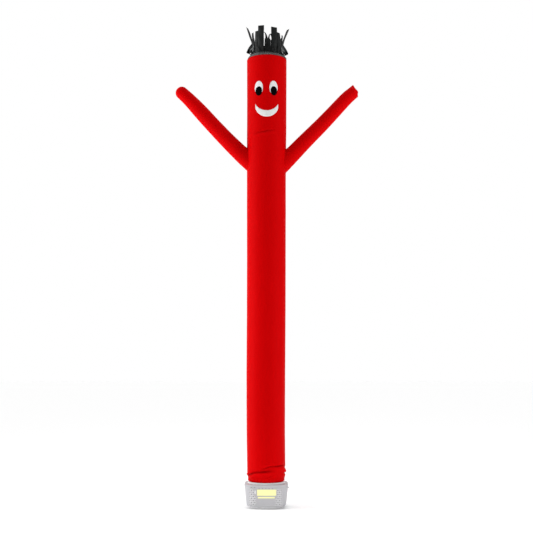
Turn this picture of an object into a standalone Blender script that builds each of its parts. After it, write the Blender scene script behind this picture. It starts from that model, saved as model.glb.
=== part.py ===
"""Inflatable air dancer on a blower: a tall inflated nylon tube with two raised arms,
a sewn-on smiling face, a drawn-in collar with a ring of nylon hair strips, and the
plain floor blower that holds the tube up. Metres, +Z up, the face looks along -Y.
The origin is on the floor under the middle of the blower."""

import math

import bmesh
import bpy
from mathutils import Vector

# ---------------------------------------------------------------- driving dimensions
CLEAR = 0.0003            # seat gap between pieces that touch
MERGE = 0.00001           # points closer than this are one
CLOTH = 0.0015            # nylon sheet
PATCH = 0.0012            # sewn-on face patch
TUBE_SIDES = 40           # facets round the big tube

# the big tube
HEM_Z = 0.3085            # lower edge of the hem, on the outlet ring's flange
HEM_R = 0.2020            # radius the drawcord pulls the hem to
HEM_ROUND = 0.0220        # height over which the hem rounds under
HEM_PINCH = 0.0110        # the cloth narrows this much over the hem
PINCH_TOP = 0.4050        # from this height
PINCH_OVER = 0.0550       # and over this length
RIM_Z = 5.5600            # upper edge of the red cloth
RIM_R = 0.2390            # radius of that edge
RIM_ROUND = 0.0160        # height over which the head rounds in to it
EDGE_TURN = 0.0030        # upright strip at a sewn edge, so that its end face lies flat

# The tube sways a little and swells towards the head. Heights, the x of its middle line
# and its radius there, in metres.
TUBE_LINE = (
    dict(z=0.40, x=0.0000, radius=0.2310),
    dict(z=0.93, x=-0.0055, radius=0.2338),
    dict(z=1.30, x=-0.0062, radius=0.2354),
    dict(z=1.66, x=-0.0054, radius=0.2376),
    dict(z=2.40, x=-0.0014, radius=0.2381),
    dict(z=3.15, x=0.0006, radius=0.2397),
    dict(z=3.90, x=0.0012, radius=0.2415),
    dict(z=4.66, x=0.0045, radius=0.2458),
    dict(z=5.04, x=0.0056, radius=0.2450),
    dict(z=5.50, x=0.0050, radius=0.2475),
)

# collar and hair
COLLAR_R = 0.1900
COLLAR_H = 0.0500
COLLAR_PUFF = 0.0120
HAIR_TILT = -0.0450       # rise of the hair's bands for each metre towards +X
HAIR_SHIFT = 0.0080       # their middle lies this far from the rim's, towards +X
HAIR_BAND_H = 0.0120
HAIR_CLOTH = 0.0015
HAIR_INNER_R = 0.1847     # the inner band just clears the flat lengths of the outer one
FLAT_STEPS = 5            # lengths that a plain strip is bent in
CURVED_STEPS = 11         # and one that folds or arches over
PATH_STEP = 0.0200        # share of a strip's length over which its direction is taken

# blower
BASE_HALF = 0.1995        # half width of the foot plate
BASE_H = 0.0300
BASE_CORNER = 0.1400
BASE_EDGE = 0.0050
SHELL_LOW = 0.2395        # half width of the housing at its foot
SHELL_HIGH = 0.2660       # and under its top edge
SHELL_TOP = 0.2900        # height of the deck
SHELL_CORNER = 0.1500
SHELL_WALL = 0.0060
SHELL_EDGE = 0.0120       # rounding of the top edge
SHELL_SIDES = 40
RING_SIDES = 40
FLANGE_R = 0.2280         # the outlet ring's flange, which the hem stands on
SPIGOT_R = 0.1850         # its upright spigot
SPIGOT_H = 0.0700
SPIGOT_WALL = 0.0060
RING_LIP = 0.0030         # bevel of the ring's edges

RED = (0.62, 0.003, 0.008)
BLACK = (0.018, 0.020, 0.020)
WHITE = (0.86, 0.87, 0.87)
GREY = (0.56, 0.56, 0.58)
GREY_DARK = (0.55, 0.55, 0.56)
GREY_LIGHT = (0.72, 0.74, 0.74)
YELLOW = (0.88, 0.84, 0.36)
BLACK_PLASTIC = (0.03, 0.03, 0.03)
SHARP_ANGLE = 35          # degrees; edges bent more than this are shown sharp

# Folds of the tube: the slumped cloth over the hem and one crease at the neck. Each row
# is a soft trough (negative depth) or ridge that runs part of the way round the tube at
# `height`, climbing by `slope` metres a degree.
FOLDS = (
    # middle, half_span (degrees), height, slope, half_height, depth (metres)
    dict(middle=-22, half_span=62, height=0.4400, slope=0.00060, half_height=0.020, depth=-0.0200),
    dict(middle=-3, half_span=28, height=0.4600, slope=0.00010, half_height=0.026, depth=-0.0090),
    dict(middle=-25, half_span=60, height=0.4020, slope=0.00055, half_height=0.018, depth=0.0100),
    dict(middle=-80, half_span=40, height=0.4350, slope=0.00060, half_height=0.018, depth=0.0050),
    dict(middle=48, half_span=62, height=0.5080, slope=0.00022, half_height=0.017, depth=-0.0180),
    dict(middle=45, half_span=50, height=0.4790, slope=0.00015, half_height=0.019, depth=0.0090),
    dict(middle=0, half_span=30, height=0.5190, slope=0.00020, half_height=0.015, depth=0.0060),
    dict(middle=90, half_span=34, height=0.4280, slope=-0.00020, half_height=0.016, depth=-0.0110),
    dict(middle=92, half_span=40, height=0.4650, slope=0.00000, half_height=0.022, depth=0.0080),
    dict(middle=2, half_span=26, height=0.3780, slope=0.00160, half_height=0.014, depth=-0.0050),
    dict(middle=178, half_span=70, height=0.4550, slope=0.00035, half_height=0.022, depth=-0.0100),
    dict(middle=170, half_span=60, height=0.4050, slope=0.00020, half_height=0.030, depth=0.0060),
    dict(middle=-6, half_span=44, height=4.5970, slope=0.00075, half_height=0.024, depth=-0.0110),
    dict(middle=-10, half_span=52, height=4.5640, slope=0.00060, half_height=0.026, depth=0.0045),
)

# Arms: stations along the middle line, and the round width there.
LEFT_ARM = (
    dict(x=-0.2350, z=4.2780, width=0.2060),
    dict(x=-0.3095, z=4.3490, width=0.2060),
    dict(x=-0.4936, z=4.5325, width=0.1955),
    dict(x=-0.6616, z=4.7110, width=0.1895),
    dict(x=-0.8280, z=4.8940, width=0.1835),
    dict(x=-0.9550, z=5.0310, width=0.1670),
    dict(x=-1.0670, z=5.1380, width=0.1555),
)
RIGHT_ARM = (
    dict(x=0.2400, z=4.2600, width=0.2060),
    dict(x=0.3700, z=4.3950, width=0.1960),
    dict(x=0.5087, z=4.5390, width=0.1877),
    dict(x=0.6760, z=4.7065, width=0.1794),
    dict(x=0.8426, z=4.8830, width=0.1705),
    dict(x=1.0078, z=5.0600, width=0.1630),
    dict(x=1.0900, z=5.1330, width=0.1540),
)
ARM_SIDES = 24
ARM_STEPS = 10
ARM_INTO_TUBE = 0.1000    # the uncut arm starts this far inside the tube
ARM_HOLE_LIP = 0.0050     # the tube's hole is this much smaller than the arm all round
TIP_STEPS = 4
PILLOW_LENGTH = 0.0600    # flattened end of the right arm
PILLOW_HALF_DEPTH = 0.0110
PILLOW_EAR = 0.0090       # its upper corner sticks out by this much
EAR_PLACE = 0.8500        # where, from -1 at the lower edge to 1 at the upper one
EAR_SPREAD = 0.5000
PILLOW_CHAMFER = 0.0480   # its lower corner is rounded back by this much
CHAMFER_FROM = -0.3500    # below this place
TIP_BLUNT = 0.9200        # length of the left arm's round end over its radius

# Face, seen straight from the front
EYE_X = 0.0905
EYE_Z = 5.1410
EYE_HALF = (0.0520, 0.0880)
PUPIL_X = 0.0928
PUPIL_Z = 5.1015
PUPIL_HALF = (0.0395, 0.0570)
SMILE_X = 0.0055
SMILE_HALF = 0.1420       # half the distance between the corners of the mouth
SMILE_TIP_Z = 4.9440
SMILE_INNER_DROP = 0.0880
SMILE_OUTER_DROP = 0.1675
PATCH_COLUMNS = 12        # tube facets that the face spans
OVAL_SIDES = 24
PUPIL_SIDES = 18
SMILE_LOW_STEPS = 16
SMILE_HIGH_STEPS = 12

# Hair strips round the vent, in an outer and a shorter inner ring. Azimuth is in degrees
# from the front, towards +X; bulge, lean and drift move a strip's middle line outwards
# half way up, outwards at the top and sideways at the top; twist turns it, in degrees.
# A fold or an ear first falls out over the collar and then stands up.
HAIR_COLUMNS = ("kind", "azimuth", "width", "height", "bulge", "lean", "drift", "twist")
HAIR_OUTER = (
    ("flat", -7.6, 0.046, 0.1430, 0.006, -0.006, 0.002, 6),
    ("flat", 7.6, 0.046, 0.1440, 0.008, -0.004, -0.002, -9),
    ("flat", -25.5, 0.068, 0.3230, 0.008, 0.002, 0.000, -4),
    ("flat", 28.5, 0.066, 0.3100, 0.010, 0.000, 0.000, 5),
    ("flat", -48, 0.070, 0.2730, 0.006, -0.003, 0.000, 12),
    ("flat", 50.5, 0.075, 0.2670, 0.006, -0.003, 0.000, -11),
    ("fold", -70, 0.056, 0.2460, 0.040, -0.010, 0.000, 22),
    ("fold", 71, 0.056, 0.2300, 0.040, -0.008, 0.000, -22),
    ("ear", -92, 0.062, 0.3410, 0.060, 0.066, 0.000, 34),
    ("ear", 92, 0.062, 0.3450, 0.061, 0.066, 0.000, -34),
    ("fold", -115, 0.062, 0.2400, 0.040, 0.006, 0.000, -8),
    ("fold", 115, 0.062, 0.2550, 0.040, 0.010, 0.000, 8),
    ("flat", -137, 0.064, 0.2650, 0.012, -0.008, 0.000, 6),
    ("flat", 137, 0.064, 0.2400, 0.020, 0.004, 0.000, -9),
    ("flat", -159, 0.064, 0.2300, 0.018, 0.012, 0.000, -6),
    ("flat", 159, 0.064, 0.2550, 0.010, -0.004, 0.000, 7),
    ("flat", 180, 0.056, 0.2350, 0.016, 0.008, 0.000, 5),
)
HAIR_INNER = (
    ("arch", -7.6, 0.034, 0.2520, -0.024, -0.018, -0.030, -72),
    ("arch", 7.6, 0.034, 0.2320, -0.026, -0.020, 0.024, 72),
    ("flat", -36, 0.104, 0.2700, -0.004, -0.022, 0.000, 2),
    ("flat", 36, 0.104, 0.2620, -0.004, -0.020, 0.000, -2),
    ("flat", -61.5, 0.050, 0.1200, -0.004, -0.016, 0.000, 8),
    ("flat", 61.5, 0.050, 0.1150, -0.004, -0.018, 0.000, -8),
    ("flat", -104, 0.060, 0.1600, -0.004, -0.022, 0.000, 6),
    ("flat", 104, 0.060, 0.1500, -0.006, -0.018, 0.000, -6),
    ("flat", -148, 0.060, 0.2000, -0.006, -0.020, 0.000, -5),
    ("flat", 148, 0.060, 0.1900, -0.004, -0.024, 0.000, 5),
    ("flat", -171, 0.050, 0.1650, -0.006, -0.020, 0.000, 7),
    ("flat", 171, 0.050, 0.1800, -0.004, -0.018, 0.000, -6),
)
FOLD_SHARE = 0.42         # part of a fold's length that falls out over the collar
FOLD_HEIGHT = 0.1250      # height at which it stands up again
FOLD_EARLY = 0.6200       # below 1 the fold reaches furthest out low down
FOLD_FLAT = 0.9000        # below 1 the fold has a blunter end
FOLD_RISE = 1.7000        # above 1 the fold leaves its root more level
LEAN_CURVE = 1.3000       # above 1 the standing end curves outwards
EAR_END_TWIST = 20        # degrees that an ear's free end stays turned
TWIST_OVER = 0.6300       # part of a strip's length over which it takes its twist
ARCH_TWIST_OVER = 0.3500
ARCH_SHARE = 0.7200       # part of an arch strip's length that rises
ARCH_DROP = 0.0500
ARCH_SETS_BACK = 0.4000   # part of its length over which it moves in from the band
ARCH_END_DRIFT = 0.6500   # further drift of its hanging end, as a share of the drift
ARCH_WAVE = 0.3500        # it first wanders the other way by this share

# small fittings of the blower
LABEL = dict(x=0.0042, z=0.2020, width=0.2290, height=0.0745, thick=0.0008)
LABEL_BAR = dict(x=0.0006, z=0.1430, width=0.2030, height=0.0180, thick=0.0008)
LABEL_STRIPS = 13
FRONT_RIB = dict(x=-0.1320, z=0.2080, width=0.0110, height=0.0420, thick=0.0030)
SCREWS = (dict(x=-0.1803, z=0.2620), dict(x=-0.1370, z=0.2620))
SCREW_R = 0.0050
SCREW_H = 0.0040
SCREW_SIDES = 12
HEAD_TAPER = 0.7500       # outer radius of the round heads over the inner one
KNOB_Z = 0.2340
KNOB_R = 0.0080
KNOB_LENGTH = 0.0130
KNOB_SIDES = 16


# ---------------------------------------------------------------- general tools
def clear_scene():
    for item in list(bpy.data.objects):
        bpy.data.objects.remove(item, do_unlink=True)


def plain_material(name, colour, roughness):
    material = bpy.data.materials.new(name)
    material.use_nodes = True
    shader = material.node_tree.nodes["Principled BSDF"]
    shader.inputs["Base Color"].default_value = (*colour, 1.0)
    shader.inputs["Roughness"].default_value = roughness
    shader.inputs["Metallic"].default_value = 0.0
    material.diffuse_color = (*colour, 1.0)
    return material


def add_object(name, bm, material, smooth=True):
    mesh = bpy.data.meshes.new(name)
    bm.to_mesh(mesh)
    bm.free()
    if smooth:
        mesh.shade_smooth()
        mesh.set_sharp_from_angle(angle=math.radians(SHARP_ANGLE))
    mesh.materials.append(material)
    item = bpy.data.objects.new(name, mesh)
    bpy.context.scene.collection.objects.link(item)
    return item


def bent_grid(columns, rows, place):
    """A flat grid whose points are moved to place(u, w), u and w running from 0 to 1.
    Edges that meet, and rows that shrink to a point, are merged."""
    bm = bmesh.new()
    bmesh.ops.create_grid(bm, x_segments=columns, y_segments=rows, size=0.5)
    for vert in bm.verts:
        vert.co = place(vert.co.x + 0.5, vert.co.y + 0.5)
    bmesh.ops.remove_doubles(bm, verts=bm.verts, dist=MERGE)
    return bm


def solidify(item, thickness, offset=-1.0):
    modifier = item.modifiers.new("sheet", "SOLIDIFY")
    modifier.thickness = thickness
    modifier.offset = offset
    modifier.use_even_offset = True


def boolean(item, cutter, operation):
    modifier = item.modifiers.new(operation.lower(), "BOOLEAN")
    modifier.operation = operation
    modifier.solver = "EXACT"
    modifier.object = cutter


def make_guide(item):
    item.hide_render = True
    item.display_type = "WIRE"
    return item


def bump(distance):
    """1 in the middle, falling smoothly to 0 at a distance of 1."""
    if abs(distance) >= 1.0:
        return 0.0
    return math.cos(0.5 * math.pi * distance) ** 2


def ramp(value):
    """0 below 0, 1 above 1, smooth between."""
    value = min(1.0, max(0.0, value))
    return value * value * (3.0 - 2.0 * value)


def row_at(rows, w):
    """The entry of a list of heights that the grid coordinate w stands for."""
    return rows[round(w * (len(rows) - 1))]


def round_the_circle(angle):
    """An angle in degrees, brought between -180 and 180."""
    return (angle + 180.0) % 360.0 - 180.0


# ---------------------------------------------------------------- shape of the big tube
def fold_offset(azimuth, z):
    offset = 0.0
    for fold in FOLDS:
        along = round_the_circle(azimuth - fold["middle"])
        middle = fold["height"] + fold["slope"] * along
        strength = bump(along / fold["half_span"])
        offset += fold["depth"] * strength * bump((z - middle) / fold["half_height"])
    return offset


def tube_line(z, key):
    """The middle line's x, or the radius, at a height: straight between the table's rows."""
    if z <= TUBE_LINE[0]["z"]:
        return TUBE_LINE[0][key]
    for low, high in zip(TUBE_LINE, TUBE_LINE[1:]):
        if z <= high["z"]:
            share = (z - low["z"]) / (high["z"] - low["z"])
            return low[key] + (high[key] - low[key]) * share
    return TUBE_LINE[-1][key]


def tube_point(azimuth, z, outward=0.0):
    """A point on the tube's outer face, `outward` beyond it."""
    radius = tube_line(z, "radius") - HEM_PINCH * ramp((PINCH_TOP - z) / PINCH_OVER)
    hem = ramp((HEM_Z + HEM_ROUND - z) / HEM_ROUND) ** 2
    radius += (HEM_R - radius) * hem
    radius += fold_offset(azimuth, z) * (1.0 - hem)
    rim = ramp((z - RIM_Z + RIM_ROUND) / (RIM_ROUND - EDGE_TURN))
    radius += (RIM_R - radius) * rim * rim
    angle = math.radians(azimuth)
    reach = radius + outward
    return Vector((tube_line(z, "x") + reach * math.sin(angle), -reach * math.cos(angle), z))


def azimuth_at(u, columns=TUBE_SIDES):
    return -180.0 + 360.0 * round(u * columns) / columns


FOLD_ROW = 0.0125         # distance between rows of points over the hem folds
HEM_ROWS = [HEM_Z, 0.313, 0.319, 0.326, 0.334] + [0.346 + FOLD_ROW * step for step in range(16)] + [0.560]
BODY_ROWS = [0.93, 1.30, 1.66, 2.40, 3.15]
SHOULDER_ROWS = [3.90, 4.12, 4.45, 4.53]
NECK_ROWS = [4.552, 4.568, 4.582, 4.596, 4.610, 4.626, 4.645]
FACE_ROWS = [4.70, 5.00, 5.32]
RIM_ROWS = [5.50, 5.544, 5.549, 5.553, RIM_Z - EDGE_TURN, RIM_Z]


def tube_sheet(name, rows, material):
    def place(u, w):
        return tube_point(azimuth_at(u), row_at(rows, w))

    item = add_object(name, bent_grid(TUBE_SIDES, len(rows) - 1, place), material)
    solidify(item, CLOTH)
    return item


def shoulder_block(material):
    """The tube's outside between the shoulders as one solid, a seat gap larger all
    round, which trims the arms' inner ends."""
    rows = [SHOULDER_ROWS[0]] + SHOULDER_ROWS + [SHOULDER_ROWS[-1]]

    def place(u, w):
        step = round(w * (len(rows) - 1))
        point = tube_point(azimuth_at(u), rows[step], CLEAR)
        if step in (0, len(rows) - 1):
            return Vector((tube_line(rows[step], "x"), 0.0, rows[step]))
        return point

    return make_guide(add_object("guide_shoulders", bent_grid(TUBE_SIDES, len(rows) - 1, place), material))


# ---------------------------------------------------------------- arms
def arm_line(stations, t, key):
    """Smooth value of a station column at t, 0 at the root and 1 at the last station."""
    last = len(stations) - 1
    place = min(max(t, 0.0) * last, last - 1e-9)
    index = int(place)
    local = place - index
    before = stations[max(index - 1, 0)][key]
    start = stations[index][key]
    end = stations[index + 1][key]
    after = stations[min(index + 2, last)][key]
    slope_in = 0.5 * (end - before)
    slope_out = 0.5 * (after - start)
    cube = local ** 3
    square = local ** 2
    return ((2 * cube - 3 * square + 1) * start + (cube - 2 * square + local) * slope_in
            + (3 * square - 2 * cube) * end + (cube - square) * slope_out)


def arm_frame(stations, t):
    """Middle point, direction along the arm and direction across it, in the X-Z plane."""
    middle = Vector((arm_line(stations, t, "x"), 0.0, arm_line(stations, t, "z")))
    ahead = Vector((arm_line(stations, t + 0.01, "x"), 0.0, arm_line(stations, t + 0.01, "z")))
    behind = Vector((arm_line(stations, t - 0.01, "x"), 0.0, arm_line(stations, t - 0.01, "z")))
    along = (ahead - behind).normalized()
    across = Vector((-along.z, 0.0, along.x))
    return middle, along, across


def arm_point(stations, angle, t, inset):
    """Points of the arm's round length: t below 0 runs straight on into the tube."""
    middle, along, across = arm_frame(stations, max(t, 0.0))
    radius = 0.5 * arm_line(stations, t, "width") - inset
    if t < 0.0:
        middle = middle + along * (t * ARM_INTO_TUBE)
    return middle + across * (radius * math.cos(angle)) + Vector((0.0, radius * math.sin(angle), 0.0))


def left_tip_point(angle, s, inset):
    """The rounded end of the left arm: s runs from 0 where the length ends to 1 at the tip."""
    middle, along, across = arm_frame(LEFT_ARM, 1.0)
    radius = 0.5 * LEFT_ARM[-1]["width"] - inset
    bend = 0.5 * math.pi * s
    reach = radius * math.cos(bend) if s < 1.0 else 0.0
    ring = across * (reach * math.cos(angle)) + Vector((0.0, reach * math.sin(angle), 0.0))
    return middle + along * (TIP_BLUNT * radius * math.sin(bend)) + ring


def right_tip_point(angle, s, inset):
    """The flattened, sewn end of the right arm: its depth shrinks while its width stays."""
    middle, along, across = arm_frame(RIGHT_ARM, 1.0)
    radius = 0.5 * RIGHT_ARM[-1]["width"] - inset
    flat = min(s, 1.0)
    depth = radius + (PILLOW_HALF_DEPTH - inset - radius) * (1.0 - math.cos(0.5 * math.pi * flat))
    side = math.cos(angle)
    corner = PILLOW_EAR * bump((side - EAR_PLACE) / EAR_SPREAD)
    corner -= PILLOW_CHAMFER * ramp((CHAMFER_FROM - side) / (1.0 + CHAMFER_FROM))
    reach = PILLOW_LENGTH * math.sin(0.5 * math.pi * flat) + corner * flat
    if s > 1.0:
        return middle + along * PILLOW_LENGTH
    return middle + along * reach + across * (radius * side) + Vector((0.0, depth * math.sin(angle), 0.0))


def arm_bmesh(stations, tip_point, inset, close_root):
    """Rings from inside the tube to the tip. close_root ends it in a point for a guide."""
    into = 2
    start = 1 if close_root else 0
    total = start + into + ARM_STEPS + TIP_STEPS + 1

    def place(u, w):
        angle = -2.0 * math.pi * round(u * ARM_SIDES) / ARM_SIDES
        step = round(w * total) - start
        if step < 0:
            middle, along, _ = arm_frame(stations, 0.0)
            return middle - along * ARM_INTO_TUBE
        if step < into:
            return arm_point(stations, angle, (step - into) / into, inset)
        if step <= into + ARM_STEPS:
            return arm_point(stations, angle, (step - into) / ARM_STEPS, inset)
        return tip_point(angle, (step - into - ARM_STEPS) / TIP_STEPS, inset)

    return bent_grid(ARM_SIDES, total, place)


def build_arm(name, stations, tip_point, shoulders, tube, material):
    arm = add_object(name, arm_bmesh(stations, tip_point, 0.0, False), material)
    solidify(arm, CLOTH)
    boolean(arm, shoulders, "DIFFERENCE")
    hole = arm_bmesh(stations, tip_point, ARM_HOLE_LIP, True)
    boolean(tube, make_guide(add_object("guide_hole_" + name, hole, material)), "DIFFERENCE")
    return arm


# ---------------------------------------------------------------- face
def face_layer(name, level, outline, material):
    """A patch: a layer of sheet over the head's front, cut to an outline that is
    extruded straight through it from the front."""
    half = PATCH_COLUMNS // 2
    inner = CLEAR + level * (CLEAR + PATCH)

    def place(u, w):
        azimuth = (round(u * PATCH_COLUMNS) - half) * 360.0 / TUBE_SIDES
        return tube_point(azimuth, row_at(FACE_ROWS, w), inner + PATCH)

    patch = add_object(name, bent_grid(PATCH_COLUMNS, len(FACE_ROWS) - 1, place), material)
    solidify(patch, PATCH)
    cutter = bmesh.new()
    corners = [cutter.verts.new((x, -2.0 * RIM_R, z)) for x, z in outline]
    front = cutter.faces.new(corners)
    grown = bmesh.ops.extrude_face_region(cutter, geom=[front])
    moved = [part for part in grown["geom"] if isinstance(part, bmesh.types.BMVert)]
    bmesh.ops.translate(cutter, verts=moved, vec=(0.0, 2.0 * RIM_R, 0.0))
    bmesh.ops.recalc_face_normals(cutter, faces=cutter.faces)
    boolean(patch, make_guide(add_object("guide_" + name, cutter, material, smooth=False)), "INTERSECT")
    return patch


def oval(x, z, half, sides):
    turns = [2.0 * math.pi * side / sides for side in range(sides)]
    return [(x + half[0] * math.cos(turn), z + half[1] * math.sin(turn)) for turn in turns]


def arc_through(middle_x, half_width, top, drop, steps):
    """Points of the round arc that sags by `drop` between two ends at height `top`,
    half_width to either side of middle_x, left to right."""
    radius = (half_width ** 2 + drop ** 2) / (2.0 * drop)
    reach = math.asin(half_width / radius)
    middle = top - drop + radius
    angles = [-reach + 2.0 * reach * step / steps for step in range(steps + 1)]
    return [(middle_x + radius * math.sin(angle), middle - radius * math.cos(angle)) for angle in angles]


def smile_outline():
    lower = arc_through(SMILE_X, SMILE_HALF, SMILE_TIP_Z, SMILE_OUTER_DROP, SMILE_LOW_STEPS)
    upper = arc_through(SMILE_X, SMILE_HALF, SMILE_TIP_Z, SMILE_INNER_DROP, SMILE_HIGH_STEPS)
    return lower + upper[-2:0:-1]


def build_face(white, black):
    for side, sign in (("left", -1.0), ("right", 1.0)):
        face_layer("eye_white_" + side, 0, oval(sign * EYE_X, EYE_Z, EYE_HALF, OVAL_SIDES), white)
        pupil = oval(sign * PUPIL_X, PUPIL_Z, PUPIL_HALF, PUPIL_SIDES)
        face_layer("eye_pupil_" + side, 1, pupil, black)
    face_layer("smile", 0, smile_outline(), white)


# ---------------------------------------------------------------- collar and hair
def collar_share(height):
    """0 on the rim and 1 at the collar's top, with an upright strip at either edge."""
    low = CLEAR + EDGE_TURN
    return min(1.0, max(0.0, (height - low) / (COLLAR_H - EDGE_TURN - low)))


def top_point(azimuth, radius, height, sideways=0.0):
    """A point over the rim: radius and sideways from the middle line, which moves from
    the rim's middle to the hair's as the collar rises."""
    angle = math.radians(azimuth)
    share = collar_share(height)
    x = radius * math.sin(angle) + sideways * math.cos(angle)
    y = -radius * math.cos(angle) + sideways * math.sin(angle)
    middle = tube_line(RIM_Z, "x") + HAIR_SHIFT * share
    return Vector((x + middle, y, RIM_Z + height + HAIR_TILT * share * x))


def build_collar(material):
    rows = [CLEAR, CLEAR + EDGE_TURN, 0.3 * COLLAR_H, 0.65 * COLLAR_H, COLLAR_H - EDGE_TURN, COLLAR_H]

    def place(u, w):
        height = row_at(rows, w)
        share = collar_share(height)
        radius = RIM_R + (COLLAR_R - RIM_R) * share + COLLAR_PUFF * math.sin(math.pi * share)
        return top_point(azimuth_at(u), radius, height)

    collar = add_object("collar", bent_grid(TUBE_SIDES, len(rows) - 1, place), material)
    solidify(collar, CLOTH)
    return collar


def strip_rows(rows):
    return [dict(zip(HAIR_COLUMNS, row)) for row in rows]


def fold_path(strip, s):
    """A strip that falls out over the collar and stands up again."""
    twist = math.radians(strip["twist"])
    end_twist = math.radians(math.copysign(EAR_END_TWIST, twist)) if strip["kind"] == "ear" else 0.0
    drift = strip["drift"] * s * s
    if s < FOLD_SHARE:
        part = s / FOLD_SHARE
        out = strip["bulge"] * math.sin(math.pi * part ** FOLD_EARLY) ** FOLD_FLAT
        turned = twist * math.sqrt(math.sin(math.pi * part)) + end_twist * part
        return out, FOLD_HEIGHT * part ** FOLD_RISE, drift, turned
    part = (s - FOLD_SHARE) / (1.0 - FOLD_SHARE)
    rise = FOLD_HEIGHT + (strip["height"] - FOLD_HEIGHT) * part
    return strip["lean"] * part ** LEAN_CURVE, rise, drift, end_twist


def arch_path(strip, s):
    """A strip that rises behind the others, leans over sideways and hangs down."""
    rise = min(s / ARCH_SHARE, 1.0)
    over = max(s - ARCH_SHARE, 0.0) / (1.0 - ARCH_SHARE)
    height = strip["height"] * math.sin(0.5 * math.pi * rise) - ARCH_DROP * over * over
    wander = rise ** 3 + ARCH_END_DRIFT * over - ARCH_WAVE * math.sin(math.pi * rise)
    out = strip["bulge"] * ramp(s / ARCH_SETS_BACK) + strip["lean"] * s
    return out, height, strip["drift"] * wander, math.radians(strip["twist"]) * ramp(s / ARCH_TWIST_OVER)


def strip_path(strip, s):
    """Radius beyond the band, height, sideways drift and twist of a strip at s, 0 at
    the band and 1 at its free end."""
    if strip["kind"] in ("fold", "ear"):
        return fold_path(strip, s)
    if strip["kind"] == "arch":
        return arch_path(strip, s)
    out = strip["bulge"] * math.sin(math.pi * s) + strip["lean"] * s
    twist = math.radians(strip["twist"]) * ramp(s / TWIST_OVER)
    return out, strip["height"] * s, strip["drift"] * s * s, twist


def build_hair(name, strips, band_r, material):
    """One band round the vent, whose upper face is parted into the strips' roots and
    the short gaps between them. Each root is extruded step by step into its strip."""
    band_z = COLLAR_H + CLEAR
    edges = []
    for strip in sorted(strips, key=lambda entry: entry["azimuth"]):
        half = math.degrees(0.5 * strip["width"] / band_r)
        edges += [(strip["azimuth"] - half, strip), (strip["azimuth"] + half, None)]
    bm = bmesh.new()
    rings = []
    for radius in (band_r, band_r - HAIR_CLOTH):
        for height in (band_z, band_z + HAIR_BAND_H):
            rings.append([bm.verts.new(top_point(angle, radius, height)) for angle, _ in edges])
    out_low, out_high, in_low, in_high = rings
    roots = []
    count = len(edges)
    for index in range(count):
        other = (index + 1) % count
        bm.faces.new((out_low[index], out_low[other], out_high[other], out_high[index]))
        bm.faces.new((in_low[other], in_low[index], in_high[index], in_high[other]))
        bm.faces.new((in_low[index], in_low[other], out_low[other], out_low[index]))
        top = bm.faces.new((out_high[index], out_high[other], in_high[other], in_high[index]))
        if edges[index][1]:
            roots.append((top, edges[index][1]))
    base = band_z + HAIR_BAND_H
    for face, strip in roots:
        steps = FLAT_STEPS if strip["kind"] == "flat" else CURVED_STEPS
        for step in range(1, steps + 1):
            face = grow_strip(bm, face, strip, step / steps, band_r, base)
    bmesh.ops.recalc_face_normals(bm, faces=bm.faces)
    return add_object(name, bm, material, smooth=False)


def grow_strip(bm, face, strip, s, band_r, base):
    """Extrude the strip's end face once and lay its four corners at s. The strip stands
    on the chord of its root. Its sides and its thickness stand square to the way it runs,
    and its two broad faces are split along the same diagonal, so that a twist leaves its
    thickness whole."""
    out, height, side, twist = strip_path(strip, s)
    before = strip_path(strip, max(0.0, s - PATH_STEP))
    after = strip_path(strip, min(1.0, s + PATH_STEP))
    run = Vector((after[2] - before[2], after[0] - before[0], after[1] - before[1])).normalized()
    across = Vector((math.cos(twist), math.sin(twist), 0.0))
    across = (across - run * across.dot(run)).normalized()
    outward = run.cross(across)
    half = 0.5 * strip["width"]
    thick = 0.5 * HAIR_CLOTH
    chord_r = math.sqrt(band_r ** 2 - half ** 2)
    middle = Vector((side, chord_r - thick + out, base + height))
    before_verts = list(face.verts)
    grown = bmesh.ops.extrude_discrete_faces(bm, faces=[face])["faces"][0]
    for vert, (edge, skin) in zip(grown.verts, ((-1, 1), (1, 1), (1, -1), (-1, -1))):
        corner = middle + across * (edge * half) + outward * (skin * thick)
        vert.co = top_point(strip["azimuth"], corner.y, corner.z, corner.x)
    for low, high in ((0, 1), (3, 2)):
        near = before_verts[low]
        far = grown.verts[high]
        broad = (set(near.link_faces) & set(far.link_faces)).pop()
        bmesh.utils.face_split(broad, near, far)
    return grown


# ---------------------------------------------------------------- blower
def rounded_square(azimuth, half, corner):
    """Where the ray at this azimuth meets a square with round corners, seen from above."""
    angle = math.radians(azimuth)
    along = Vector((math.sin(angle), -math.cos(angle)))
    flat = half / max(abs(along.x), abs(along.y))
    point = along * flat
    inner = half - corner
    if abs(point.x) > inner and abs(point.y) > inner:
        centre = Vector((math.copysign(inner, point.x), math.copysign(inner, point.y)))
        ahead = along.dot(centre)
        aside = centre.length_squared - ahead * ahead
        flat = ahead + math.sqrt(corner * corner - aside)
    return along * flat


def shell_half(z):
    return SHELL_LOW + (SHELL_HIGH - SHELL_LOW) * (z - BASE_H) / (SHELL_TOP - BASE_H)


def build_base(material):
    # height and half width of each ring; half 0 is the middle of a face
    rings = ((0.0, 0.0), (0.0, BASE_HALF - BASE_EDGE), (BASE_EDGE, BASE_HALF),
             (BASE_H - BASE_EDGE, BASE_HALF), (BASE_H, BASE_HALF - BASE_EDGE), (BASE_H, 0.0))

    def place(u, w):
        height, half = row_at(rings, w)
        if half == 0.0:
            return Vector((0.0, 0.0, height))
        point = rounded_square(azimuth_at(u, SHELL_SIDES), half, BASE_CORNER)
        return Vector((point.x, point.y, height))

    return add_object("blower_base", bent_grid(SHELL_SIDES, len(rings) - 1, place), material)


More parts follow.
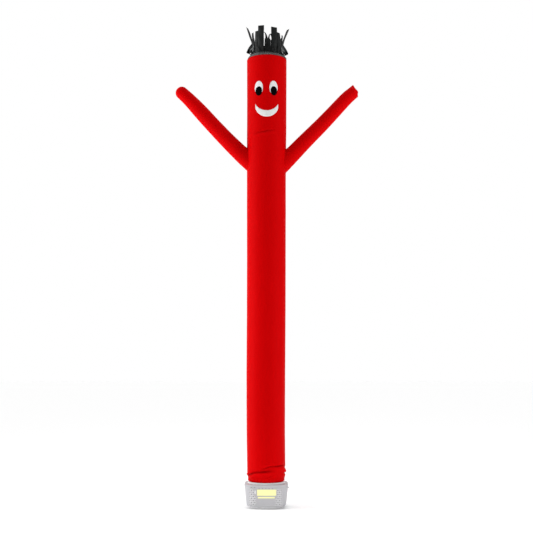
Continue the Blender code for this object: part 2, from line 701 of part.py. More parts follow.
def build_housing(material):
    """A tapered tub with its floor, walls and deck in one moulding; the deck has the
    round outlet hole."""
    foot = BASE_H + CLEAR
    # height and half width of each ring, from the floor's middle up to the outlet hole
    rings = ((foot, 0.0), (foot, SHELL_LOW - SHELL_EDGE),
             (foot + 0.4 * SHELL_EDGE, SHELL_LOW - 0.2 * SHELL_EDGE),
             (foot + SHELL_EDGE, shell_half(foot + SHELL_EDGE)),
             (SHELL_TOP - SHELL_EDGE, shell_half(SHELL_TOP - SHELL_EDGE)),
             (SHELL_TOP - 0.3 * SHELL_EDGE, SHELL_HIGH - 0.35 * SHELL_EDGE),
             (SHELL_TOP, SHELL_HIGH - SHELL_EDGE), (SHELL_TOP, None))

    def place(u, w):
        height, half = row_at(rings, w)
        azimuth = azimuth_at(u, SHELL_SIDES)
        if half is None:
            hole = SPIGOT_R - SPIGOT_WALL
            angle = math.radians(azimuth)
            return Vector((hole * math.sin(angle), -hole * math.cos(angle), height))
        if half == 0.0:
            return Vector((0.0, 0.0, height))
        point = rounded_square(azimuth, half, SHELL_CORNER)
        return Vector((point.x, point.y, height))

    housing = add_object("blower_housing", bent_grid(SHELL_SIDES, len(rings) - 1, place), material)
    solidify(housing, SHELL_WALL)
    return housing


def build_outlet_ring(material):
    """Turned ring on the deck: a flange that the hem stands on and a spigot inside it."""
    low = SHELL_TOP + CLEAR
    flange_top = HEM_Z - CLEAR
    spigot_top = SHELL_TOP + SPIGOT_H
    profile = ((FLANGE_R, low), (FLANGE_R, flange_top - RING_LIP), (FLANGE_R - RING_LIP, flange_top),
               (SPIGOT_R, flange_top), (SPIGOT_R, spigot_top - RING_LIP), (SPIGOT_R - RING_LIP, spigot_top),
               (SPIGOT_R - SPIGOT_WALL, spigot_top), (SPIGOT_R - SPIGOT_WALL, low), (FLANGE_R, low))

    def place(u, w):
        radius, height = row_at(profile, w)
        angle = math.radians(azimuth_at(u, RING_SIDES))
        return Vector((radius * math.sin(angle), -radius * math.cos(angle), height))

    return add_object("outlet_ring", bent_grid(RING_SIDES, len(profile) - 1, place), material)


def shell_front_y(x, z):
    """The housing's front face at x, by stepping round its plan outline."""
    half = shell_half(z)
    inner = half - SHELL_CORNER
    if abs(x) <= inner:
        return -half
    return -(inner + math.sqrt(SHELL_CORNER ** 2 - (abs(x) - inner) ** 2))


def build_label(name, spec, material):
    """A thin blank plate that follows the housing's front face, tapered with it."""
    def place(u, w):
        x = spec["x"] + spec["width"] * (u - 0.5)
        z = spec["z"] + spec["height"] * (w - 0.5)
        return Vector((x, shell_front_y(x, z) - 2.0 * CLEAR - spec["thick"], z))

    plate = add_object(name, bent_grid(LABEL_STRIPS, 1, place), material)
    solidify(plate, spec["thick"])
    return plate


def shell_facet(x, z):
    """The point at x, z on the flat facets of the housing's front, and the way it faces."""
    def corners(height):
        quarter = SHELL_SIDES // 4
        steps = range(quarter, 3 * quarter + 1)
        azimuths = [azimuth_at(step / SHELL_SIDES, SHELL_SIDES) for step in steps]
        plan = [rounded_square(azimuth, shell_half(height), SHELL_CORNER) for azimuth in azimuths]
        return [Vector((point.x, point.y, height)) for point in plan]

    here = corners(z)
    above = corners(z + SCREW_R)
    index = max(step for step, corner in enumerate(here[:-1]) if corner.x <= x)
    start = here[index]
    along = here[index + 1] - start
    facing = along.cross(above[index] - start).normalized()
    return start + along * ((x - start.x) / along.x), facing


def build_screw(name, spec, material):
    """A low round head that stands square on the housing's front."""
    point, facing = shell_facet(spec["x"], spec["z"])
    bm = bmesh.new()
    bmesh.ops.create_cone(bm, cap_ends=True, segments=SCREW_SIDES, radius1=SCREW_R,
                          radius2=HEAD_TAPER * SCREW_R, depth=SCREW_H)
    screw = add_object(name, bm, material)
    screw.location = point + facing * (CLEAR + 0.5 * SCREW_H)
    screw.rotation_mode = "QUATERNION"
    screw.rotation_quaternion = facing.to_track_quat("Z", "Y")
    return screw


def build_knob(material):
    bm = bmesh.new()
    bmesh.ops.create_cone(bm, cap_ends=True, segments=KNOB_SIDES, radius1=KNOB_R,
                          radius2=HEAD_TAPER * KNOB_R, depth=KNOB_LENGTH)
    knob = add_object("blower_knob", bm, material)
    seat = shell_half(KNOB_Z + KNOB_R) + CLEAR
    knob.location = (seat + 0.5 * KNOB_LENGTH, 0.0, KNOB_Z)
    knob.rotation_euler = (0.0, math.radians(90.0), 0.0)
    return knob


def main():
    clear_scene()
    red = plain_material("red_nylon", RED, 0.42)
    black = plain_material("black_nylon", BLACK, 0.50)
    white = plain_material("white_nylon", WHITE, 0.45)
    grey = plain_material("grey_plastic", GREY, 0.50)
    grey_dark = plain_material("dark_grey_plastic", GREY_DARK, 0.55)
    grey_light = plain_material("light_grey_plastic", GREY_LIGHT, 0.45)
    yellow = plain_material("yellow_plate", YELLOW, 0.40)
    black_plastic = plain_material("black_plastic", BLACK_PLASTIC, 0.45)

    build_base(grey_dark)
    build_housing(grey)
    build_outlet_ring(grey_light)
    build_label("label_plate", LABEL, yellow)
    build_label("label_bar", LABEL_BAR, yellow)
    build_label("front_rib", FRONT_RIB, grey_light)
    for index, spec in enumerate(SCREWS):
        build_screw("screw_%d" % (index + 1), spec, black_plastic)
    build_knob(black_plastic)

    rows = HEM_ROWS + BODY_ROWS + SHOULDER_ROWS + NECK_ROWS + FACE_ROWS + RIM_ROWS
    tube = tube_sheet("body_tube", rows, red)
    shoulders = shoulder_block(red)
    build_arm("arm_left", LEFT_ARM, left_tip_point, shoulders, tube, red)
    build_arm("arm_right", RIGHT_ARM, right_tip_point, shoulders, tube, red)
    build_face(white, black)
    build_collar(black)
    build_hair("hair_outer", strip_rows(HAIR_OUTER), COLLAR_R, black)
    build_hair("hair_inner", strip_rows(HAIR_INNER), HAIR_INNER_R, black)


main()
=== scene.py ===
# %% [markdown]
# # An inflatable air dancer on its blower
#
# The real thing is a tube of thin red nylon, about 0.46 m across and 5.2 m long, that a floor
# blower keeps full of air. Two thinner arm tubes are sewn into its shoulders. A face is sewn
# on, and the open top is drawn in by a black collar that carries two rings of nylon strips.
#
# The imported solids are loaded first. They say where everything is. Every piece made below
# replaces one of them, or sits on one.

# %% Load the frame
import math

import bmesh
import bpy
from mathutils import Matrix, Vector, noise


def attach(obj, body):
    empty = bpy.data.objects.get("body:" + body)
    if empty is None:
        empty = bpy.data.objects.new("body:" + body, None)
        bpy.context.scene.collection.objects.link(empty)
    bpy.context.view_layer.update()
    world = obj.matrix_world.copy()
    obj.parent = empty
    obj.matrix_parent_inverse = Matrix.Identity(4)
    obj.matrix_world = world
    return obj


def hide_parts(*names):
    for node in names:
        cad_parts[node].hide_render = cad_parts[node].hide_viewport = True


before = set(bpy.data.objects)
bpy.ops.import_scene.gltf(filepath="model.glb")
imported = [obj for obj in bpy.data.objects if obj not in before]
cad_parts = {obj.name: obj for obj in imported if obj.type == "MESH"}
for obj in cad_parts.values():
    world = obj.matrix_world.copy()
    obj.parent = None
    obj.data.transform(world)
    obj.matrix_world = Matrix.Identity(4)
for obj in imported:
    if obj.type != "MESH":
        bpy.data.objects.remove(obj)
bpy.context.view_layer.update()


scene = bpy.context.scene
print("solids:", sorted(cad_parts))

# %% [markdown]
# ## Camera
# A figure this tall is looked at from about 13 m away by someone who stands on the same
# ground. The lens is a long one, and it is tilted up a little, so that both the blower and
# the tips of the hair are in view.

# %% Camera
EYE_SIDE = 0.0025
EYE_HEIGHT = 1.843
EYE_DISTANCE = 13.0
TILT_UP = 4.82
LENS = 70.92

camera_data = bpy.data.cameras.new("camera")
camera_data.sensor_width = 36.0
camera_data.lens = LENS
camera_data.clip_end = 200.0
camera = bpy.data.objects.new("camera", camera_data)
camera.location = (EYE_SIDE, -EYE_DISTANCE, EYE_HEIGHT)
camera.rotation_euler = (math.radians(90.0 + TILT_UP), 0.0, 0.0)
scene.collection.objects.link(camera)
scene.camera = camera
scene.view_settings.view_transform = "Standard"
print("camera stands", EYE_DISTANCE, "m away")

# %% [markdown]
# ## Floor and light
# A photo studio does this with a white floor, a white wall and two tall softboxes. The wall
# is the world here: bright behind the figure and dimmer behind the camera, which leaves the
# middle of the round tube darker than its sides and shows that it is round. An even light
# from above whitens the floor and leaves upright cloth alone, and a small low one reaches
# under the hem and the blower's edge.

# %% Floor
FLOOR_REACH = 60.0
FLOOR_WHITE = 0.98

floor_bm = bmesh.new()
bmesh.ops.create_grid(floor_bm, x_segments=1, y_segments=1, size=FLOOR_REACH)
floor_mesh = bpy.data.meshes.new("studio_floor")
floor_bm.to_mesh(floor_mesh)
floor_bm.free()
studio_floor = bpy.data.objects.new("studio_floor", floor_mesh)
scene.collection.objects.link(studio_floor)

floor_paint = bpy.data.materials.new("floor_paint")
floor_paint.use_nodes = True
floor_shader = floor_paint.node_tree.nodes["Principled BSDF"]
floor_shader.inputs["Base Color"].default_value = (FLOOR_WHITE, FLOOR_WHITE, FLOOR_WHITE, 1.0)
floor_shader.inputs["Roughness"].default_value = 0.9
floor_shader.inputs["Specular IOR Level"].default_value = 0.0
floor_mesh.materials.append(floor_paint)
print("floor:", studio_floor.name)

# %% Walls
WALL_BEHIND_FIGURE = 1.00
WALL_BEHIND_CAMERA = 0.22
WALL_ON_THE_RIGHT = 0.30

world = bpy.data.worlds.new("studio")
world.use_nodes = True
scene.world = world
sky = world.node_tree.nodes
sky_links = world.node_tree.links
direction = sky.new("ShaderNodeTexCoord")
split = sky.new("ShaderNodeSeparateXYZ")
sky_links.new(direction.outputs["Generated"], split.inputs["Vector"])


def wall_along(axis, start, end, at_start, at_end):
    """Brightness that runs from at_start to at_end as the look turns along an axis."""
    node = sky.new("ShaderNodeMapRange")
    for label, value in (("From Min", start), ("From Max", end), ("To Min", at_start), ("To Max", at_end)):
        node.inputs[label].default_value = value
    sky_links.new(split.outputs[axis], node.inputs["Value"])
    return node.outputs["Result"]


both_ways = sky.new("ShaderNodeMath")
both_ways.operation = "MULTIPLY"
sky_links.new(wall_along("Y", -1.0, 0.35, WALL_BEHIND_CAMERA, WALL_BEHIND_FIGURE), both_ways.inputs[0])
sky_links.new(wall_along("X", 0.30, 0.90, 1.0, WALL_ON_THE_RIGHT), both_ways.inputs[1])
sky_links.new(both_ways.outputs["Value"], sky["Background"].inputs["Strength"])
sky["Background"].inputs["Color"].default_value = (1.0, 1.0, 1.0, 1.0)
print("walls:", WALL_BEHIND_FIGURE, WALL_BEHIND_CAMERA, WALL_ON_THE_RIGHT)

# %% Lights
def soft_light(name, place, turn, size, power):
    """An upright rectangular light. At a turn of 0 it shines the way the camera looks."""
    data = bpy.data.lights.new(name, "AREA")
    data.shape = "RECTANGLE"
    data.size, data.size_y = size
    data.energy = power
    light = bpy.data.objects.new(name, data)
    light.location = place
    light.rotation_euler = (math.radians(90.0), 0.0, math.radians(turn))
    scene.collection.objects.link(light)
    return light


SOFTBOX = (2.0, 8.0)
SOFTBOX_MIDDLE = 3.2
soft_light("softbox_left", (-6.0, -0.7, SOFTBOX_MIDDLE), turn=-83.0, size=SOFTBOX, power=300.0)
soft_light("softbox_right", (5.5, -2.1, SOFTBOX_MIDDLE), turn=69.0, size=SOFTBOX, power=185.0)
low_light = soft_light("low_light", (0.0, -1.0, 0.05), turn=0.0, size=(0.9, 0.08), power=1.3)
low_light.visible_camera = False
top_data = bpy.data.lights.new("top_light", "SUN")
top_data.energy = 1.05
top_data.angle = math.radians(50.0)
scene.collection.objects.link(bpy.data.objects.new("top_light", top_data))

# %% [markdown]
# ## Node groups that several finishes share
# Nylon cloth is a plain weave with a square of thicker threads every few millimetres, so
# that a tear stops there. A group works out its height from the cloth's own map, which is
# in metres. Other groups give rows of stitches, the grain of moulded plastic, and dust that
# settles low down. Each gives a value, and each material decides what to do with it.

# %% Node helpers
def new_group(name, inputs, outputs):
    """A shader node group with float or vector inputs and float outputs."""
    group = bpy.data.node_groups.new(name, "ShaderNodeTree")
    for label, kind, value in inputs:
        socket = group.interface.new_socket(name=label, in_out="INPUT", socket_type=kind)
        if kind == "NodeSocketFloat":
            socket.default_value = value
    for label in outputs:
        group.interface.new_socket(name=label, in_out="OUTPUT", socket_type="NodeSocketFloat")
    source = group.nodes.new("NodeGroupInput")
    target = group.nodes.new("NodeGroupOutput")
    return group, source, target


def maths(tree, operation, first, second=None, clamp=False):
    """One Math node; first and second are sockets or numbers. Returns its output."""
    node = tree.nodes.new("ShaderNodeMath")
    node.operation = operation
    node.use_clamp = clamp
    for index, value in enumerate((first, second)):
        if value is None:
            continue
        if isinstance(value, (int, float)):
            node.inputs[index].default_value = value
        else:
            tree.links.new(value, node.inputs[index])
    return node.outputs[0]


def split_xyz(tree, vector):
    """A vector's three parts."""
    node = tree.nodes.new("ShaderNodeSeparateXYZ")
    tree.links.new(vector, node.inputs[0])
    return node.outputs["X"], node.outputs["Y"], node.outputs["Z"]


def noise_value(tree, vector, scale, detail):
    """Smooth noise from 0 to 1."""
    node = tree.nodes.new("ShaderNodeTexNoise")
    node.inputs["Scale"].default_value = scale
    node.inputs["Detail"].default_value = detail
    tree.links.new(vector, node.inputs["Vector"])
    return node.outputs["Fac"]


def use_group(tree, group, **values):
    """Places a group. Each value is a socket or a number for the input of that name."""
    node = tree.nodes.new("ShaderNodeGroup")
    node.node_tree = group
    for label, value in values.items():
        socket = node.inputs[label.replace("_", " ")]
        if isinstance(value, (int, float)):
            socket.default_value = value
        else:
            tree.links.new(value, socket)
    return node


print("node helpers are ready")

# %% Weave
FINE_SHARE = 0.35
THREAD_SHARPNESS = 7.0

weave, weave_in, weave_out = new_group(
    "weave",
    [("Vector", "NodeSocketVector", None), ("Threads", "NodeSocketFloat", 900.0),
     ("Square", "NodeSocketFloat", 0.006)],
    ["Height"],
)
across, along, _ = split_xyz(weave, weave_in.outputs["Vector"])
turn = maths(weave, "MULTIPLY", weave_in.outputs["Threads"], 2.0 * math.pi)
warp = maths(weave, "SINE", maths(weave, "MULTIPLY", across, turn))
weft = maths(weave, "SINE", maths(weave, "MULTIPLY", along, turn))
plain_weave = maths(weave, "MULTIPLY", maths(weave, "MULTIPLY", warp, weft), FINE_SHARE)


def thick_thread(direction_value):
    """1 on the thicker thread of each square and 0 between."""
    place = maths(weave, "DIVIDE", direction_value, weave_in.outputs["Square"])
    swing = maths(weave, "ABSOLUTE", maths(weave, "SINE", maths(weave, "MULTIPLY", place, math.pi)))
    return maths(weave, "SUBTRACT", 1.0, maths(weave, "MULTIPLY", swing, THREAD_SHARPNESS), clamp=True)


squares = maths(weave, "MAXIMUM", thick_thread(across), thick_thread(along))
weave.links.new(maths(weave, "ADD", plain_weave, squares), weave_out.inputs["Height"])
print("group:", weave.name)

# %% Stitches
DASH_SHARE = 0.66

stitches, stitches_in, stitches_out = new_group(
    "stitches",
    [("Run", "NodeSocketFloat", 0.0), ("Off", "NodeSocketFloat", 0.0),
     ("Pitch", "NodeSocketFloat", 0.006), ("Half Width", "NodeSocketFloat", 0.0011)],
    ["Mask"],
)
stitch_phase = maths(stitches, "FRACT", maths(stitches, "DIVIDE", stitches_in.outputs["Run"],
                                              stitches_in.outputs["Pitch"]))
dash = maths(stitches, "LESS_THAN", stitch_phase, DASH_SHARE)
near = maths(stitches, "LESS_THAN", maths(stitches, "ABSOLUTE", stitches_in.outputs["Off"]),
             stitches_in.outputs["Half Width"])
stitches.links.new(maths(stitches, "MULTIPLY", dash, near), stitches_out.inputs["Mask"])
print("group:", stitches.name)

# %% Moulded grain and dust
# Each pair is a noise's scale and detail.
FINE_GRAIN = (900.0, 2.0)
BLOTCHES = (14.0, 4.0)
DUST_PATCHES = (22.0, 5.0)

moulded_grain, grain_in, grain_out = new_group(
    "moulded_grain",
    [("Vector", "NodeSocketVector", None)],
    ["Height", "Blotch"],
)
fine = noise_value(moulded_grain, grain_in.outputs["Vector"], *FINE_GRAIN)
broad = noise_value(moulded_grain, grain_in.outputs["Vector"], *BLOTCHES)
moulded_grain.links.new(fine, grain_out.inputs["Height"])
moulded_grain.links.new(broad, grain_out.inputs["Blotch"])

floor_dust, dust_in, dust_out = new_group(
    "floor_dust",
    [("Vector", "NodeSocketVector", None), ("Reach", "NodeSocketFloat", 0.12)],
    ["Mask"],
)
_, _, dust_z = split_xyz(floor_dust, dust_in.outputs["Vector"])
low_down = maths(floor_dust, "SUBTRACT", 1.0, maths(floor_dust, "DIVIDE", dust_z,
                                                    dust_in.outputs["Reach"]), clamp=True)
patchy = noise_value(floor_dust, dust_in.outputs["Vector"], *DUST_PATCHES)
floor_dust.links.new(maths(floor_dust, "MULTIPLY", low_down, patchy), dust_out.inputs["Mask"])
print("groups:", moulded_grain.name, floor_dust.name)

# %% [markdown]
# ## Finishes
# The nylon is dyed deeply, so its red stays pure and its shine is weak. Its colour varies a
# little over the length of a bolt, and its roughness varies where it was handled. The red
# tube has painted shade in its folds and a painted highlight on their ridges. The black
# nylon of the collar and hair is shinier; the hair's folded strips have a painted highlight
# near the top of each fold and painted shade lower in it, and the hair has painted shade
# low down, where strips lie on strips. The face patches are white and black nylon. The
# blower is moulded in a grey plastic with a fine grain; its foot is painted much paler, as
# painted light under the tub's overhang.

# %% Material helpers
def start_material(name, roughness, shine):
    """A new material, its node tree and its shader."""
    material = bpy.data.materials.new(name)
    material.use_nodes = True
    shader = material.node_tree.nodes["Principled BSDF"]
    shader.inputs["Roughness"].default_value = roughness
    shader.inputs["Specular IOR Level"].default_value = shine
    return material, material.node_tree, shader


def place_of(tree, kind):
    """Coordinates in metres: the cloth's own map, or the object's."""
    return tree.nodes.new("ShaderNodeTexCoord").outputs[kind]


def mixed(tree, factor, below, above):
    """`above` laid over `below` where factor is 1. Each is a plain colour or a socket."""
    node = tree.nodes.new("ShaderNodeMix")
    node.data_type = "RGBA"
    tree.links.new(factor, node.inputs["Factor"])
    for label, colour in (("A", below), ("B", above)):
        if isinstance(colour, tuple):
            node.inputs[label].default_value = (*colour, 1.0)
        else:
            tree.links.new(colour, node.inputs[label])
    return node.outputs["Result"]


def roughness_between(tree, shader, factor, low, high):
    """Roughness that wanders between two values."""
    node = tree.nodes.new("ShaderNodeMapRange")
    node.inputs["To Min"].default_value = low
    node.inputs["To Max"].default_value = high
    tree.links.new(factor, node.inputs["Value"])
    tree.links.new(node.outputs["Result"], shader.inputs["Roughness"])


def bump(tree, shader, height, distance):
    """Turns heights into the slopes that the shader sees."""
    node = tree.nodes.new("ShaderNodeBump")
    node.inputs["Distance"].default_value = distance
    node.inputs["Strength"].default_value = 1.0
    tree.links.new(height, node.inputs["Height"])
    tree.links.new(node.outputs["Normal"], shader.inputs["Normal"])


print("material helpers are ready")

# %% Nylon
HEM_Z = 0.3085
RIM_Z = 5.5600
TUBE_ROUND = 1.50
# The next two set where the painted shade low down in the hair begins and how fast it deepens.
HAIR_SHADE_TOP = RIM_Z + 0.190
HAIR_SHADE_FADE = 9.0
THREAD_HEIGHT = 2.5
WEAVE_DEPTH = 0.00012
DYE_TONES = (2.3, 5.0)
WORN_PLACES = (9.0, 4.0)


def nylon(name, dark, light, roughness, shine, rows=(), thread=None, seam=None, folds=None,
          deep=None):
    """Woven nylon. `rows` are heights of stitched lines across the piece's map and `seam`
    the place of one line along it; `thread` is the stitches' colour. `folds` are two
    painted colours picked by the point's 'fold' value: painted shade deep in a fold and a
    painted highlight on its ridge. `deep` is painted shade: the colour that the hair turns
    to low down, where strips lie on strips."""
    material, tree, shader = start_material(name, roughness, shine)
    cloth_map = place_of(tree, "UV")
    solid = place_of(tree, "Object")
    colour = mixed(tree, noise_value(tree, solid, *DYE_TONES), dark, light)
    # Painted shade: below a height the colour turns darker, where strips of hair lie on strips.
    if deep:
        _, _, level = split_xyz(tree, solid)
        below = maths(tree, "SUBTRACT", HAIR_SHADE_TOP, level)
        colour = mixed(tree, maths(tree, "MULTIPLY", below, HAIR_SHADE_FADE, clamp=True), colour, deep)
    # Painted shade where the 'fold' value is below 0, and a painted highlight where it is above 0.
    if folds:
        depth = tree.nodes.new("ShaderNodeAttribute")
        depth.attribute_name = "fold"
        for sign, tint in zip((-1.0, 1.0), folds):
            share = maths(tree, "MULTIPLY", depth.outputs["Fac"], sign, clamp=True)
            colour = mixed(tree, share, colour, tint)
    height = use_group(tree, weave, Vector=cloth_map).outputs["Height"]
    run, up, _ = split_xyz(tree, cloth_map)
    lines = [(run, maths(tree, "SUBTRACT", up, row)) for row in rows]
    if seam is not None:
        lines.append((up, maths(tree, "SUBTRACT", run, seam)))
    for along_line, off in lines:
        mask = use_group(tree, stitches, Run=along_line, Off=off).outputs["Mask"]
        colour = mixed(tree, mask, colour, thread)
        height = maths(tree, "ADD", height, maths(tree, "MULTIPLY", mask, THREAD_HEIGHT))
    tree.links.new(colour, shader.inputs["Base Color"])
    worn = noise_value(tree, solid, *WORN_PLACES)
    roughness_between(tree, shader, worn, roughness - 0.05, roughness + 0.06)
    bump(tree, shader, height, WEAVE_DEPTH)
    return material


print("height from hem to rim:", RIM_Z - HEM_Z)

# %% Nylon finishes
RED_DARK = (0.535, 0.0001, 0.0006)
RED_LIGHT = (0.590, 0.0004, 0.0014)
RED_THREAD = (0.40, 0.002, 0.004)
# Painted shade deep in a fold of the hair's strips and a painted highlight near the fold's top.
BLACK_SHADE_IN_FOLD = (0.001, 0.001, 0.001)
BLACK_HIGHLIGHT_ON_RIDGE = (0.14, 0.15, 0.15)
# Painted shade deep in the red tube's folds and a painted highlight on their ridges.
RED_SHADE_IN_FOLD = (0.32, 0.0001, 0.0004)
RED_HIGHLIGHT_ON_RIDGE = (0.68, 0.0010, 0.0030)
# The tube gets painted shade in its folds and a painted highlight on their ridges.
red_tube = nylon("red_nylon_tube", RED_DARK, RED_LIGHT, 0.50, 0.012,
                 rows=(HEM_Z + 0.022, HEM_Z + 0.027, RIM_Z - 0.018, RIM_Z - 0.011),
                 thread=RED_THREAD, seam=0.012, folds=(RED_SHADE_IN_FOLD, RED_HIGHLIGHT_ON_RIDGE))
red_arm = nylon("red_nylon_arm", RED_DARK, RED_LIGHT, 0.50, 0.012, rows=(0.012, 0.018),
                thread=RED_THREAD, seam=0.010)
white_patch = nylon("white_nylon", (0.74, 0.75, 0.75), (0.82, 0.82, 0.82), 0.50, 0.12)
black_patch = nylon("black_nylon_patch", (0.0010, 0.0010, 0.0011), (0.0020, 0.0020, 0.0022),
                    0.50, 0.015)
# The hair gets a painted highlight and painted shade on its folded strips, and painted shade low down.
black_hair = nylon("black_nylon_hair", (0.006, 0.007, 0.007), (0.019, 0.021, 0.021), 0.42, 0.16,
                   folds=(BLACK_SHADE_IN_FOLD, BLACK_HIGHLIGHT_ON_RIDGE), deep=(0.004, 0.0045, 0.0045))
black_collar = nylon("black_nylon_collar", (0.026, 0.030, 0.030), (0.070, 0.078, 0.078), 0.38, 0.40,
                     rows=(0.008, 0.052), thread=(0.05, 0.055, 0.055))
print("nylon finishes:", [item.name for item in (red_tube, red_arm, white_patch, black_patch,
                                                 black_hair, black_collar)])

# %% Moulded plastic
DUST = (0.42, 0.40, 0.37)
DUST_SHARE = 0.35


def moulded(name, dark, light, roughness, shine, dust_reach=0.12, grain=0.00008):
    """Moulded plastic with a fine grain, faint blotches and dust low down."""
    material, tree, shader = start_material(name, roughness, shine)
    solid = place_of(tree, "Object")
    grained = use_group(tree, moulded_grain, Vector=solid)
    colour = mixed(tree, grained.outputs["Blotch"], dark, light)
    dusty = use_group(tree, floor_dust, Vector=solid, Reach=dust_reach).outputs["Mask"]
    colour = mixed(tree, maths(tree, "MULTIPLY", dusty, DUST_SHARE), colour, DUST)
    tree.links.new(colour, shader.inputs["Base Color"])
    roughness_between(tree, shader, grained.outputs["Blotch"], roughness - 0.07, roughness + 0.08)
    bump(tree, shader, grained.outputs["Height"], grain)
    return material


housing_plastic = moulded("grey_plastic", (0.425, 0.425, 0.445), (0.465, 0.465, 0.485), 0.46, 0.26,
                          dust_reach=0.05)
# Painted light: the foot's grey is much paler than the tub's, to lift the shade under the tub's overhang.
foot_plastic_painted_light = moulded("dark_grey_plastic", (0.72, 0.72, 0.73), (0.78, 0.78, 0.79), 0.55, 0.20,
                       dust_reach=0.02)
ring_plastic = moulded("light_grey_plastic", (0.74, 0.75, 0.76), (0.79, 0.80, 0.80), 0.42, 0.30)
label_film = moulded("yellow_plate", (0.88, 0.86, 0.40), (0.91, 0.89, 0.44), 0.36, 0.26, grain=0.00002)
black_plastic = moulded("black_plastic", (0.10, 0.10, 0.11), (0.14, 0.14, 0.15), 0.40, 0.35)
hollow_dark = moulded("hollow_shade", (0.22, 0.22, 0.23), (0.26, 0.26, 0.27), 0.70, 0.05)
hole_rim = moulded("hole_rim", (0.70, 0.70, 0.71), (0.76, 0.76, 0.77), 0.46, 0.26, dust_reach=0.05)
print("plastic finishes are ready")

# %% [markdown]
# ## Tools for sheets
# Every sheet here starts as a flat bmesh grid with a map in metres, as cloth starts on a
# cutting table. Its points are then moved to where the air holds them, edges that meet are
# merged, and a Solidify modifier gives it the thickness of nylon.

# %% Sheet tools
MERGE = 0.00001


def flat_sheet(columns, rows, width, length):
    """A grid with a map in metres, its points at (u, w) from 0 to 1."""
    bm = bmesh.new()
    cloth_map = bm.loops.layers.uv.new("cloth")
    bmesh.ops.create_grid(bm, x_segments=columns, y_segments=rows, size=0.5)
    for face in bm.faces:
        for loop in face.loops:
            spot = loop.vert.co
            loop[cloth_map].uv = ((spot.x + 0.5) * width, (spot.y + 0.5) * length)
    for vert in bm.verts:
        vert.co = (vert.co.x + 0.5, vert.co.y + 0.5, 0.0)
    return bm


def bend(bm, place):
    """Moves every point of a flat sheet to place(u, w) and joins what meets."""
    for vert in bm.verts:
        vert.co = place(vert.co.x, vert.co.y)
    bmesh.ops.remove_doubles(bm, verts=bm.verts, dist=MERGE)
    return bm


def piece(name, bm, material, node=None, smooth=True):
    """Makes the bmesh a piece of the object, in place of a solid where node names one."""
    mesh = bpy.data.meshes.new(name)
    bm.to_mesh(mesh)
    bm.free()
    if smooth:
        mesh.shade_smooth()
    mesh.materials.append(material)
    item = bpy.data.objects.new(name, mesh)
    scene.collection.objects.link(item)
    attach(item, "root")
    if node:
        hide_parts(node)
    return item


def join_into(whole, part):
    """Adds the bmesh `part` to the bmesh `whole` and frees it."""
    mesh = bpy.data.meshes.new("part")
    part.to_mesh(mesh)
    part.free()
    whole.from_mesh(mesh)
    bpy.data.meshes.remove(mesh)


def thicken(item, thickness):
    """Gives a sheet its thickness, inwards from its outer face."""
    modifier = item.modifiers.new("thickness", "SOLIDIFY")
    modifier.thickness = thickness
    modifier.offset = -1.0
    modifier.use_even_offset = True
    return item


def bell(distance):
    """1 in the middle, falling smoothly to 0 at a distance of 1."""
    if abs(distance) >= 1.0:
        return 0.0
    return math.cos(0.5 * math.pi * distance) ** 2


def ease(value):
    """0 below 0, 1 above 1, smooth between."""
    value = min(1.0, max(0.0, value))
    return value * value * (3.0 - 2.0 * value)


def ripple(x, y, z, seed):
    """A smooth value from -1 to 1 that wanders from place to place, the same each run."""
    return noise.noise(Vector((x, y, z + 17.3 * seed)))


print("sheet tools are ready")

# %% [markdown]
# ## Shape of the big tube
# The tube sways a little and grows in width towards the head. A drawcord pulls the hem in
# under the tube's lowest folds, where the cloth has slumped over the outlet, and the neck
# has one soft crease. Each fold is a short soft trough or ridge that runs part of the way
# round. A short table holds them, because a fold is easier to place one by one than to find
# by simulation.

# %% Tube shape
TUBE_LINE = (
    # height, x of the middle line, radius
    (0.40, 0.0000, 0.2325), (0.93, -0.0060, 0.2353), (1.29, -0.0066, 0.2369), (1.66, -0.0054, 0.2391),
    (2.03, -0.0031, 0.2395), (2.40, -0.0011, 0.2396), (3.15, 0.0006, 0.2412), (3.90, 0.0009, 0.2430),
    (4.30, 0.0020, 0.2445), (4.66, 0.0044, 0.2470), (5.04, 0.0060, 0.2468), (5.50, 0.0060, 0.2495),
)
HEM_R = 0.2020
HEM_ROUND = 0.0200
HEM_PINCH = 0.0110
PINCH_TOP = 0.3920
PINCH_SPAN = 0.0500
RIM_R = 0.2400
RIM_ROUND = 0.0160
EDGE_TURN = 0.0030

FOLDS = (
    # middle, half span (degrees), height, slope (metres a degree), half height, way out
    (-10, 44, 0.4410, 0.00035, 0.020, -0.0200),
    (-58, 46, 0.4050, 0.00120, 0.020, -0.0200),
    (4, 26, 0.4600, 0.00030, 0.018, -0.0070),
    (2, 24, 0.4920, 0.00130, 0.013, -0.0110),
    (-22, 58, 0.4050, 0.00050, 0.018, 0.0090),
    (-80, 38, 0.4040, 0.00100, 0.020, 0.0090),
    (42, 46, 0.5080, 0.00010, 0.016, -0.0170),
    (82, 30, 0.4880, -0.00080, 0.014, -0.0120),
    (46, 44, 0.4740, -0.00030, 0.018, 0.0090),
    (4, 30, 0.5220, 0.00040, 0.014, 0.0060),
    (94, 42, 0.4350, 0.00000, 0.028, 0.0120),
    (84, 28, 0.4100, -0.00040, 0.012, -0.0130),
    (10, 26, 0.3820, 0.00150, 0.012, -0.0050),
    (178, 70, 0.4550, 0.00035, 0.018, -0.0130),
    (170, 60, 0.4050, 0.00020, 0.026, 0.0080),
    (150, 40, 0.3700, -0.00040, 0.016, -0.0070),
    (-6, 44, 4.5970, 0.00075, 0.022, -0.0090),
    (-10, 52, 4.5640, 0.00060, 0.026, 0.0045),
)


